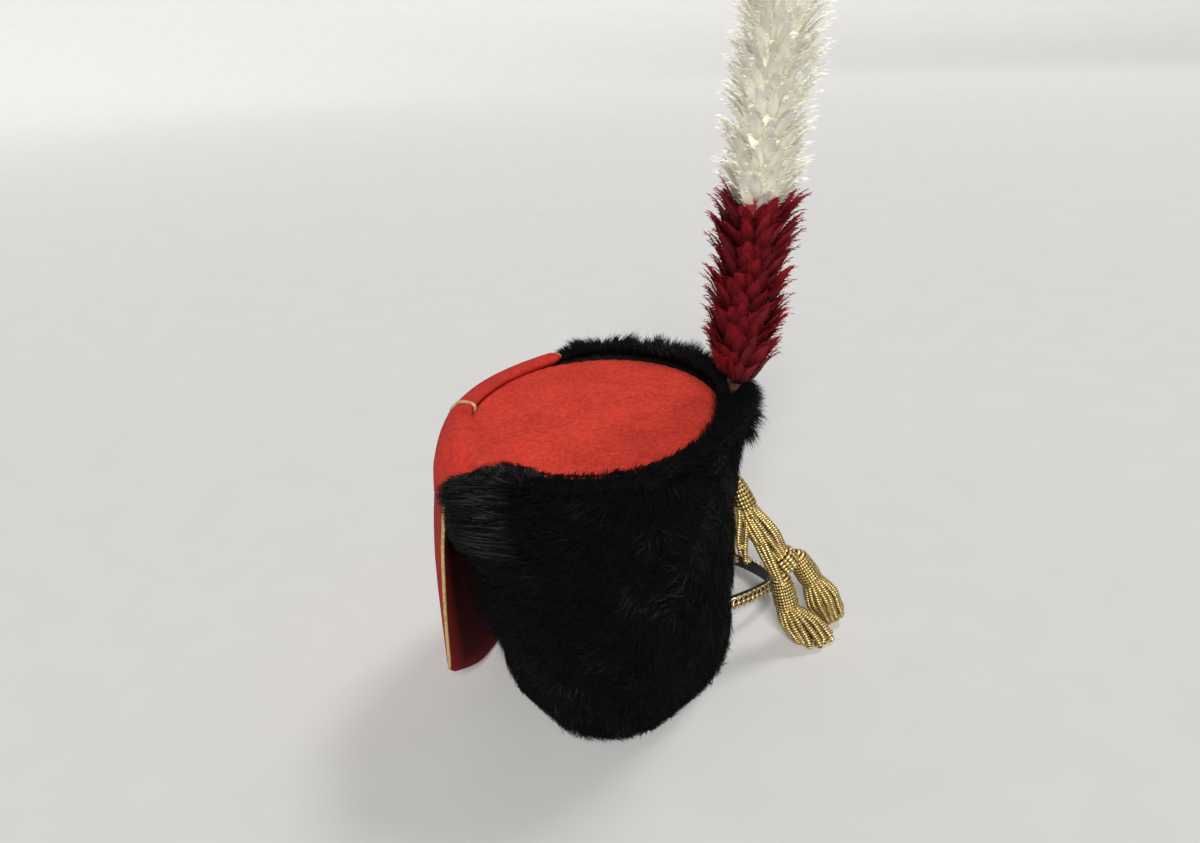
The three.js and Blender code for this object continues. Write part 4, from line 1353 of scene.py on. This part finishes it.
def fringe(rng, head, ends, count):
    """The looped strands round a head's lower end, with a shorter layer inside them."""
    turns = [*ends, 360]
    places = np.array([*ends.values(), ends[0]], float)
    middle = places[:-1].mean(axis=0)
    lines = []
    for number in range(count + count // 2):
        inner = number >= count
        turn = (number - count) * 720 / count + 20 if inner else number * 360 / count
        stop = np.array([np.interp(turn, turns, axis) for axis in places.T]) + rng.normal(0, 0.8, 3)
        if inner:
            lines.append(strand(rng, head, turn, lerp(stop, middle, 0.45), 0.6, 1.5, looped=True))
        else:
            lines.append(strand(rng, head, turn, stop, 1.0, 3.4, looped=True))
    return lines


class GoldSettings(bpy.types.PropertyGroup):
    gold_colour: colour_setting("Gold colour", "Colour of clean gilt wire", (0.78, 0.56, 0.17))
    tarnish_colour: colour_setting("Tarnish colour", "Colour of dulled gilt wire", (0.36, 0.23, 0.05))
    # Painted shade deep between the turns.
    painted_groove_shade: colour_setting("Groove colour", "Colour between the turns", (0.05, 0.028, 0.006))
    # Painted glints on the ridges, where light would catch.
    painted_glint_colour: colour_setting("Glint colour", "Colour of polished spots", (1.0, 0.94, 0.66))
    braid_colour: colour_setting("Braid colour", "Colour of clean braid", (0.86, 0.56, 0.21))
    braid_dull: colour_setting("Dull braid colour", "Colour of dulled braid", (0.52, 0.30, 0.10))
    braid_radius: length_setting("Braid radius", "Radius of the braid on the bag", 0.0012)
    strand_radius: length_setting("Strand radius", "Radius of a bullion strand", 0.002)
    coil_spacing: length_setting("Coil spacing", "Distance between the turns of a bullion strand", 0.0021)
    skirt_strands: number_setting("Skirt strands", "Long strands below the upper head", 11, least=3)
    fringe_strands: number_setting("Fringe strands", "Outer strands of each lower tassel", 13, least=3)
    seed: number_setting("Seed", "Changes how the strands fall", 3)


class BUSBY_OT_braid(bpy.types.Operator):
    """Make the three gold braids of the bag and the knot at its tip"""

    bl_idname = "busby.braid"
    bl_label = "Bag braid"

    def execute(self, context):
        settings = context.scene.busby_gold
        colours = (settings.braid_colour, settings.braid_dull)
        gold = bullion_finish("braid_gold", *colours, settings, shine=0.4, metal=0.5)
        group = wound_cord_group("Twisted braid", gold)
        values = {
            "Cord Radius": settings.braid_radius, "Ridge Spacing": 0.0015, "Ridge Depth": 0.0006,
            "Strands": 2.0, "Step": 0.0005, "Sides": 10,
        }
        braids = (
            ("front", bag_line((-1, -1), 2.5, 8.9, lift=0.5), 1.0),
            ("middle", bag_line((-0.06, 0), 0.45, 8.4, lift=0.7, on_face=True), 2.1),
            ("back", bag_line((1, 1), 0.8, 8.8, lift=0.5), 1.0),
        )
        for label, line, thick in braids:
            piece = grow("braid_" + label, [line], [thick], group, values, "gold_braid")
            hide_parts("bag_braid_" + label)
        place = np.array((BAG_LAST - 0.2,)), np.array((BAG_TIP_ACROSS,))
        normal = bag_normal(*place)[0]
        seat = bag_middle(*place)[0] + normal * (bag_puff(*place) - 0.3)
        shape = knitted_head(seat, seat + BUTTON_HEIGHT * normal, BUTTON_RADII, 7, 20, depth=0.9)
        button = add_piece("tip_knot", [gold], "gold_braid", **shape)
        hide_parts("bag_button")
        return {"FINISHED"}


class BUSBY_OT_tassels(bpy.types.Operator):
    """Make the bullion tassels below the plume"""

    bl_idname = "busby.tassels"
    bl_label = "Tassels"

    def execute(self, context):
        settings = context.scene.busby_gold
        colours = (settings.gold_colour, settings.tarnish_colour)
        gold = bullion_finish("bullion_gilt", *colours, settings, shine=0.28, metal=0.9)
        group = wound_cord_group("Bullion coil", gold)
        rng = np.random.default_rng(settings.seed)
        skirt = []
        for turn in np.arange(settings.skirt_strands) * 360 / settings.skirt_strands:
            stop = KNOT_AT + (-1, 0, 4) + 6 * strand_ray(UPPER_HEAD, turn)
            skirt.append(strand(rng, UPPER_HEAD, turn, stop, 1.1, 3.4, looped=False))
        short = [hanging_strand(*ends) for ends in SHORT_STRANDS]
        stays = [smooth_line(run, 40) for run in STAYS]
        inner = fringe(rng, INNER_HEAD, INNER_ENDS, settings.fringe_strands)
        outer = fringe(rng, OUTER_HEAD, OUTER_ENDS, settings.fringe_strands)
        hung = [SKIRT_THICK] * len(skirt) + [SHORT_THICK] * len(short) + [STAY_THICK] * len(stays)
        groups = (
            ("upper", skirt + short + stays, hung, UPPER_HEAD, 10, 18),
            ("inner", inner, [1.0] * len(inner), INNER_HEAD, 12, 24),
            ("outer", outer, [1.0] * len(outer), OUTER_HEAD, 12, 24),
        )
        spacing = settings.coil_spacing
        values = {
            "Cord Radius": settings.strand_radius, "Ridge Spacing": spacing, "Ridge Depth": 0.52 * spacing,
            "Strands": 1.0, "Step": spacing / 5, "Sides": 8,
        }
        for label, lines, radii, (start, end, narrow, wide), rows, stitches in groups:
            grow("tassel_%s_strands" % label, lines, radii, group, values, "bullion")
            radius = [pinch * lerp(narrow, wide, share) for share, pinch in zip(HEAD_SWELL, HEAD_PINCH)]
            shape = knitted_head(start, end, radius, rows, stitches, depth=1.2, lean=0.9)
            bound = add_piece("tassel_%s_head" % label, [gold], "bullion", **shape)
            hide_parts("tassel_" + label)
        shape = knitted_head(KNOT_TOP, KNOT_BASE, KNOT_RADII, 7, 16, depth=1.8, lean=0.9)
        add_piece("tassel_knot", [gold], "bullion", **shape)
        return {"FINISHED"}


# Plume


def plume_axis(along):
    """Places on the plume's axis, by millimetres from its foot."""
    lean = np.array((math.sin(PLUME_LEAN), 0, math.cos(PLUME_LEAN)))
    return PLUME_FOOT + np.asarray(along)[..., None] * lean


def plume_ray(angle):
    """The way out of the plume's axis at an angle."""
    sideways = np.array((math.cos(PLUME_LEAN), 0, -math.sin(PLUME_LEAN)))
    return np.cos(angle)[..., None] * sideways + np.sin(angle)[..., None] * BACK


class Feathers:
    """Curved feathers in overlapping rings. u is 0 at each feather's foot and 1 at its tip."""

    def __init__(self, rng, look):
        tiers, each = look["tiers"], look["each"]
        count = tiers * each
        tier = np.repeat(np.arange(tiers), each)
        angle = (np.tile(np.arange(each), tiers) + 0.5 * (tier % 2)) / each * TAU
        angle = angle + rng.normal(0, 0.11, count)
        last = COLOUR_LENGTH - 0.86 * look["length"]
        self.look = look
        self.count = count
        self.long = look["length"] * rng.uniform(0.8, 1.15, count)
        self.foot = lerp(look["first"], last, (tier + rng.uniform(-0.3, 0.3, count)) / (tiers - 1))
        share = np.clip((self.foot + 0.8 * self.long) / COLOUR_LENGTH, 0, 1)
        reach = np.interp(share, *look["profile"]) * rng.uniform(0.88, 1.12, count)
        self.reach = np.where(tier == tiers - 1, look["bud"] * reach, reach)
        inside = np.interp(np.clip(self.foot / COLOUR_LENGTH, 0, 1), *look["profile"]) * 0.5
        self.core = np.minimum(look["core"], inside)
        self.curl = look["curl"] * rng.uniform(0.7, 1.3, count)
        self.ray = plume_ray(angle)
        around = np.cross(plume_axis(1.0) - plume_axis(0.0), self.ray)
        self.wide = unit(around + rng.normal(0, look["twist"], count)[:, None] * self.ray)
        self.tone = rng.uniform(0, 1, count)

    def spine(self, u):
        """Places along every feather's middle."""
        open_out = (1 - self.curl) * np.maximum(u, 0) ** self.look["open"] + self.curl * u**3.4
        rise = self.foot + self.long * (u - 0.14 * u**3)
        off_axis = self.core + (self.reach - self.core) * open_out
        return plume_axis(self.look["start"] + rise) + off_axis[:, None] * self.ray

    def half_width(self, u):
        bulge = np.sin(math.pi * np.clip(0.1 + 0.86 * u, 0, 1) ** self.look["point"])
        return self.look["width"] * bulge**0.85

    def face(self, u):
        """The way out of every feather's face and the way along it."""
        ahead = unit(self.spine(np.minimum(u + 0.04, 1.04)) - self.spine(np.maximum(u - 0.04, 0)))
        return unit(np.cross(self.wide, ahead)), ahead

    def vanes(self):
        """Points, faces, marks and owners of the vanes, each a row of four-sided rings."""
        steps = np.linspace(0, 1, self.look["steps"])
        rings = []
        for u in steps:
            place = np.full(self.count, u)
            outward = self.face(place)[0]
            at = self.spine(place)
            half = self.half_width(u)
            edge = half * self.wide
            dip = -self.look["cup"] * half * outward
            ridge = 0.28 * (1 - 0.7 * u) * outward
            rings.append(np.stack([at - edge + dip, at - ridge, at + edge + dip, at + ridge], 1))
        size = 4 * len(steps)
        ends = [(3, 2, 1, 0), range(size - 4, size)]
        quads = np.concatenate([grid_faces(len(steps), 4, wrap_columns=True), ends])
        quads = quads[None] + size * np.arange(self.count)[:, None, None]
        marks = {
            "tone": np.repeat(self.tone, size),
            "along": np.tile(np.repeat(steps, 4), self.count),
            "across": np.tile((-1.0, 0, 1.0, 0), self.count * len(steps)),
        }
        owner = np.repeat(np.arange(self.count), size)
        return np.stack(rings, 1).reshape(-1, 3), quads.reshape(-1, 4), marks, owner

    def barbs(self, rng):
        """Points, faces, marks and owners of the loose barbs along both edges of every feather."""
        look, count = self.look, self.count
        rows = []
        for side in (-1, 1):
            for u in np.linspace(look["barbs_from"], 0.99, look["barbs"]):
                place = np.clip(u + rng.normal(0, 0.02, count), 0, 1)
                outward, ahead = self.face(place)
                half = 0.75 * self.half_width(place)[:, None]
                edge = self.spine(place) + half * (side * self.wide - look["cup"] * outward)
                reach = (look["barb"] * rng.uniform(0.6, 1.25, count))[:, None]
                splay = rng.normal(0, 0.18, count)[:, None]
                slant = unit((0.85 - 0.5 * u) * side * self.wide + ahead + (0.15 + splay) * outward)
                middle, tip = edge + 0.5 * reach * slant, edge + reach * slant + 0.18 * reach * outward
                rows.append((edge, middle, tip, place, np.full(count, side)))
        root, middle, tip, place, side = (np.concatenate(row) for row in zip(*rows))
        owner = np.tile(np.arange(count), len(rows))
        spin = rng.uniform(0, TAU, len(root))
        points, faces, size = needles(root, middle, tip, look["barb_width"], spin)
        marks = {
            "tone": np.repeat(self.tone[owner], size),
            "along": (place[:, None] + (0, 0.04, 0.05, 0.06, 0.1)).clip(0, 1).ravel(),
            "across": (side[:, None] * (0.9, 0.92, 0.94, 0.96, 1.0)).ravel(),
        }
        return points, faces, marks, np.repeat(owner, size)

    def mesh(self, rng):
        """Mesh data of vanes and barbs, with a cell of the bake layout for each feather."""
        points, quads, marks, owner = self.vanes()
        more, triangles, more_marks, more_owner = self.barbs(rng)
        marks = {key: np.concatenate([marks[key], more_marks[key]]) for key in marks}
        owner = np.concatenate([owner, more_owner])
        cells = math.ceil(math.sqrt(self.count))
        atlas = np.stack([
            (owner % cells + 0.5 + 0.46 * marks["across"]) / cells,
            (owner // cells + 0.04 + 0.92 * marks["along"]) / cells,
        ], -1)
        faces = [quads, triangles + len(points)]
        return {"points": np.concatenate([points, more]), "faces": faces, "marks": marks, "atlas": atlas}


def plume_core(look):
    """The solid middle of the plume, so that no light shows between the feathers."""
    rows, turns = 24, 20
    start, length = look["start"], look["core_length"]
    along = np.linspace(0, 1, rows)
    rounded = np.clip(np.minimum(along * 14, (1 - along) * 10), 0.1, 1)
    radius = 0.5 * np.interp(along, *look["profile"]) * rounded
    angle = np.arange(turns) * TAU / turns
    wave = 1 + 0.12 * np.sin(5 * angle[None] + 9 * along[:, None])
    centre = plume_axis(start + along * length)[:, None]
    body = centre + (radius[:, None] * wave)[..., None] * plume_ray(angle)
    ends = plume_axis(np.array((start - 0.5, start + length + 0.5)))
    points = np.concatenate([body.reshape(-1, 3), ends])
    marks = even_marks(len(points), tone=0.4, along=0.8, across=0.0)
    return {"points": points, "faces": tube_faces(rows, turns), "marks": marks}


class PlumeSettings(bpy.types.PropertyGroup):
    crimson_colour: colour_setting("Crimson", "Colour of the lower feathers", (0.19, 0.008, 0.014))
    # The tip colours are partly the feathers' own tone and partly painted highlight.
    crimson_tip: colour_setting("Crimson tip", "Colour of the brightest tips", (0.40, 0.016, 0.026))
    white_colour: colour_setting("White", "Colour of the upper feathers", (0.97, 0.955, 0.85))
    white_tip: colour_setting("White tip", "Colour of the whitest tips", (0.99, 0.985, 0.93))
    quill_colour: colour_setting("Quill colour", "Colour of the stem", (0.26, 0.15, 0.08))
    quill_dark: colour_setting("Dark quill colour", "Colour of the stem's streaks", (0.15, 0.06, 0.032))
    feather_length: length_setting("Feather length", "Length of one feather", 0.03)
    feather_width: length_setting("Feather width", "Half the width of one feather", 0.0058)
    seed: number_setting("Seed", "Changes how the feathers lie", 8)


class BUSBY_OT_plume(bpy.types.Operator):
    """Make the plume: its stem, crimson feathers and white feathers"""

    bl_idname = "busby.plume"
    bl_label = "Plume"

    def execute(self, context):
        settings = context.scene.busby_plume
        long, wide = settings.feather_length / MM, settings.feather_width / MM
        for number, (label, shares) in enumerate(FEATHER_LOOKS.items()):
            look = {**shares, "length": shares["length"] * long, "width": shares["width"] * wide}
            base, tip = getattr(settings, label + "_colour"), getattr(settings, label + "_tip")
            vane = feather_finish(label + "_vane", base, tip, look["shade"], look["stripes"], look["painted_glow"])
            rng = np.random.default_rng(settings.seed + number)
            shape = Feathers(rng, look).mesh(rng)
            slot = label + "_feather"
            piece = add_piece("plume_%s_feathers" % label, [vane], slot, **shape, sharp=70)
            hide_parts("plume_" + label)
            add_piece("plume_%s_core" % label, [vane], slot, **plume_core(look))
        radii = STEM_RADIUS + STEM_FLARE * smoothstep(np.linspace(0, 1, 40), 0.7, 1.0)
        foot, top = plume_axis(0.0), plume_axis(STEM_LENGTH + 1.0)
        shape = knitted_head(foot, top, radii, 8, 9, depth=0.35, lean=0.2, turns=36)
        stem = add_piece("plume_quill", [quill_finish(settings)], "quill", shape["points"], shape["faces"])
        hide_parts("plume_stem")
        return {"FINISHED"}


# Chin strap


def strap_line():
    """Places along the chin route and the level way outwards at each."""
    line = smooth_line(STRAP_ROUTE, STRAP_POINTS)
    ahead = np.gradient(line, axis=0)
    ahead[:, 2] = 0
    ahead = unit(ahead)
    return line, np.stack([ahead[:, 1], -ahead[:, 0], np.zeros(len(line))], -1)


def strap_band(thick, height):
    """A flat strap with rounded edges along the chin route."""
    sides = 20
    line, outwards = strap_line()
    turn = np.linspace(0, TAU, sides, endpoint=False)
    c, s = np.cos(turn), np.sin(turn)
    out = thick / 2 * np.copysign(np.abs(c) ** 0.35, c)
    up = height / 2 * np.copysign(np.abs(s) ** 0.55, s)
    edge = 0.5 * np.clip((np.abs(up) - 0.34 * height) / (0.16 * height), 0, 1)
    out = out * (1 - edge)
    points = line[:, None] + out[None, :, None] * outwards[:, None] + up[None, :, None] * UP
    here = np.arange(sides)
    caps = np.stack([here, (STRAP_POINTS - 1) * sides + here[::-1]])
    band = grid_faces(STRAP_POINTS, sides, wrap_columns=True, flip=True)
    return {"points": points.reshape(-1, 3), "faces": [band, caps]}


def chain_group(finish):
    """Node group: twisted links in a row along a curve, each end passing through the next link."""
    tree = PathTree("Curb chain", {
        "Spacing": 0.0044, "Link Length": 0.0065, "Link Width": 0.0088, "Wire": 0.001,
        "Twist": 0.7, "Slant": 0.5,
    })
    given = tree.given
    upright = tree.node("GeometryNodeSetCurveNormal", {"mode": "Z_UP"}, {"Curve": given("Geometry")})
    path = {"Curve": upright, "Length": given("Spacing")}
    even = tree.node("GeometryNodeResampleCurve", {"mode": "LENGTH"}, path)
    ring = tree.node("GeometryNodeCurvePrimitiveCircle", None, {"Resolution": 14, "Radius": 0.5})
    sizes = {"X": given("Link Length"), "Y": given("Link Width"), "Z": 1.0}
    size = tree.node("ShaderNodeCombineXYZ", None, sizes)
    oval = tree.node("GeometryNodeTransform", None, {"Geometry": ring, "Scale": size})
    place = tree.node("GeometryNodeInputPosition")
    along = tree.node("ShaderNodeSeparateXYZ", None, {"Vector": place}, output="X")
    turn = {"Vector": place, "Angle": along * given("Twist") * 2 / given("Link Length")}
    bent = tree.node("ShaderNodeVectorRotate", {"rotation_type": "X_AXIS"}, turn)
    flat = tree.node("ShaderNodeVectorMath", {"operation": "MULTIPLY"}, {0: bent, 1: (1.0, 1.0, 0.6)})
    x, y, z = (tree.node("ShaderNodeSeparateXYZ", None, {"Vector": flat}, output=axis) for axis in "XYZ")
    leaning = tree.node("ShaderNodeCombineXYZ", None, {"X": x + y * given("Slant"), "Y": y, "Z": z})
    twisted = tree.node("GeometryNodeSetPosition", None, {"Geometry": oval, "Position": leaning})
    wire = tree.node("GeometryNodeCurvePrimitiveCircle", None, {"Resolution": 6, "Radius": given("Wire")})
    link = tree.node("GeometryNodeCurveToMesh", None, {"Curve": twisted, "Profile Curve": wire})
    smooth = tree.node("GeometryNodeSetShadeSmooth", None, {"Geometry": link})
    tangent = tree.node("GeometryNodeInputTangent")
    normal = tree.node("GeometryNodeInputNormal")
    axes = {"Primary Axis": tangent, "Secondary Axis": normal}
    facing = tree.node("FunctionNodeAxesToRotation", {"primary_axis": "X", "secondary_axis": "Z"}, axes)
    links = {"Points": even, "Instance": smooth, "Rotation": facing}
    return tree.close(tree.node("GeometryNodeInstanceOnPoints", None, links), finish)


class ChinSettings(bpy.types.PropertyGroup):
    leather_colour: colour_setting("Leather", "Colour of the strap", (0.006, 0.006, 0.007))
    leather_scuff: colour_setting("Scuffed leather", "Colour of rubbed places", (0.03, 0.028, 0.026))
    brass_colour: colour_setting("Brass", "Colour of the chain", (0.98, 0.82, 0.5))
    brass_dark: colour_setting("Dull brass", "Colour of the chain where it is dull", (0.62, 0.45, 0.22))
    strap_height: length_setting("Strap width", "Width of the leather strap", 0.0116)
    strap_thick: length_setting("Strap thickness", "Thickness of the leather strap", 0.002)
    link_spacing: length_setting("Link spacing", "Distance from link to link", 0.0054)


class BUSBY_OT_chin(bpy.types.Operator):
    """Make the leather chin strap and the chain on it"""

    bl_idname = "busby.chin"
    bl_label = "Chin strap and chain"

    def execute(self, context):
        settings = context.scene.busby_chin
        band = strap_band(settings.strap_thick / MM, settings.strap_height / MM)
        strap = add_piece("chin_leather", [leather_finish(settings)], "strap_leather", **band)
        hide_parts("chin_strap")
        line, outwards = strap_line()
        line = line + CHAIN_OFF * outwards + CHAIN_LIFT * UP
        values = {
            "Spacing": settings.link_spacing, "Link Length": 0.009, "Link Width": 0.0102, "Wire": 0.0008,
            "Twist": 0.9, "Slant": 0.55,
        }
        group = chain_group(brass_finish(settings))
        chain = grow("chin_links", [line[CHAIN_SKIP:-CHAIN_SKIP]], [1.0], group, values, "chain_brass")
        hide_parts("chin_chain")
        return {"FINISHED"}


# Stage


class StageSettings(bpy.types.PropertyGroup):
    floor_colour: colour_setting("Floor", "Colour of the floor", (0.70, 0.70, 0.70))
    floor_shade: colour_setting("Floor shade", "Darker colour of the floor", (0.685, 0.685, 0.685))
    room_light: light_setting("Room light", "Strength of the light from all round", 0.15)
    key_light: light_setting("Key light", "Strength of the main light", 2.9)
    back_light: light_setting("Back light", "Strength of the light behind", 0.85)


def add_floor(settings):
    """A round floor that curves up into a low backdrop far from the hat."""
    sides, flat, bend = 96, 4.0, 1.5
    turn = np.linspace(0, math.pi / 2, 13)
    reach = np.concatenate([[0.01, 1.0], flat + bend * np.sin(turn), [flat + bend]])
    height = np.concatenate([[0.0, 0.0], bend * (1 - np.cos(turn)), [1.6 * bend]])
    angle = np.arange(sides) * TAU / sides
    ring = np.stack([np.cos(angle), np.sin(angle), 0 * angle], -1)
    points = reach[:, None, None] * ring + height[:, None, None] * UP
    faces = [*grid_faces(len(reach), sides, wrap_columns=True).tolist(), list(range(sides))]
    mesh = bpy.data.meshes.new("stage_floor")
    mesh.from_pydata(points.reshape(-1, 3).tolist(), [], faces)
    mesh.polygons.foreach_set("use_smooth", [True] * len(mesh.polygons))
    mesh.materials.append(floor_finish(settings))
    floor = bpy.data.objects.new("stage_floor", mesh)
    bpy.context.scene.collection.objects.link(floor)


def add_lamp(name, towards, strength, spread, tint):
    lamp = bpy.data.lights.new(name, "SUN")
    lamp.energy = strength
    lamp.angle = math.radians(spread)
    lamp.color = tint
    holder = bpy.data.objects.new(name, lamp)
    holder.rotation_euler = Vector(towards).to_track_quat("-Z", "Y").to_euler()
    bpy.context.scene.collection.objects.link(holder)


def add_camera(scene):
    lens = bpy.data.cameras.new("view")
    lens.sensor_width = SENSOR_WIDTH
    lens.sensor_fit = "HORIZONTAL"
    lens.lens = SENSOR_WIDTH * FOCAL_PIXELS / PHOTO_WIDTH
    lens.clip_end = 500
    camera = bpy.data.objects.new("view", lens)
    place = Matrix.Translation(Vector(to_row(CAMERA_AT)))
    aim = Matrix.Rotation(math.pi / 2 - CAMERA_DIP, 4, "X") @ Matrix.Rotation(-CAMERA_ROLL, 4, "Z")
    camera.matrix_world = place @ aim
    scene.collection.objects.link(camera)
    scene.camera = camera


class BUSBY_OT_stage(bpy.types.Operator):
    """Make the floor, the lights and the camera"""

    bl_idname = "busby.stage"
    bl_label = "Stage"

    def execute(self, context):
        settings = context.scene.busby_stage
        scene = context.scene
        add_floor(settings)
        world = bpy.data.worlds.new("studio")
        world.use_nodes = True
        background = world.node_tree.nodes["Background"]
        background.inputs["Color"].default_value = (1.0, 1.0, 1.0, 1.0)
        background.inputs["Strength"].default_value = settings.room_light
        scene.world = world
        for label, (towards, spread, tint) in LAMPS.items():
            add_lamp(label + "_lamp", towards, getattr(settings, label + "_light"), spread, tint)
        scene.view_settings.view_transform = "Standard"
        add_camera(scene)
        return {"FINISHED"}


# Add-on


OPERATORS = (
    BUSBY_OT_fur, BUSBY_OT_crown, BUSBY_OT_bag, BUSBY_OT_braid, BUSBY_OT_plume, BUSBY_OT_tassels,
    BUSBY_OT_chin, BUSBY_OT_stage,
)
SETTINGS = {
    "busby_fur": FurSettings,
    "busby_felt": FeltSettings,
    "busby_gold": GoldSettings,
    "busby_plume": PlumeSettings,
    "busby_chin": ChinSettings,
    "busby_stage": StageSettings,
}


class BUSBY_PT_panel(bpy.types.Panel):
    """The busby's pieces and their settings"""

    bl_label = "Busby"
    bl_idname = "BUSBY_PT_panel"
    bl_space_type = "VIEW_3D"
    bl_region_type = "UI"
    bl_category = "Busby"

    def draw(self, context):
        for operator in OPERATORS:
            self.layout.operator(operator.bl_idname)
        for name, group in SETTINGS.items():
            box = self.layout.box()
            for key in group.__annotations__:
                box.prop(getattr(context.scene, name), key)


def register():
    for kind in (*SETTINGS.values(), *OPERATORS, BUSBY_PT_panel):
        bpy.utils.register_class(kind)
    for name, group in SETTINGS.items():
        setattr(bpy.types.Scene, name, PointerProperty(type=group))


def unregister():
    for name in SETTINGS:
        delattr(bpy.types.Scene, name)
    for kind in (BUSBY_PT_panel, *reversed(OPERATORS), *SETTINGS.values()):
        bpy.utils.unregister_class(kind)


def main():
    register()
    for operator in OPERATORS:
        family, verb = operator.bl_idname.split(".")
        getattr(getattr(bpy.ops, family), verb)()


if __name__ == "__main__":
    main()
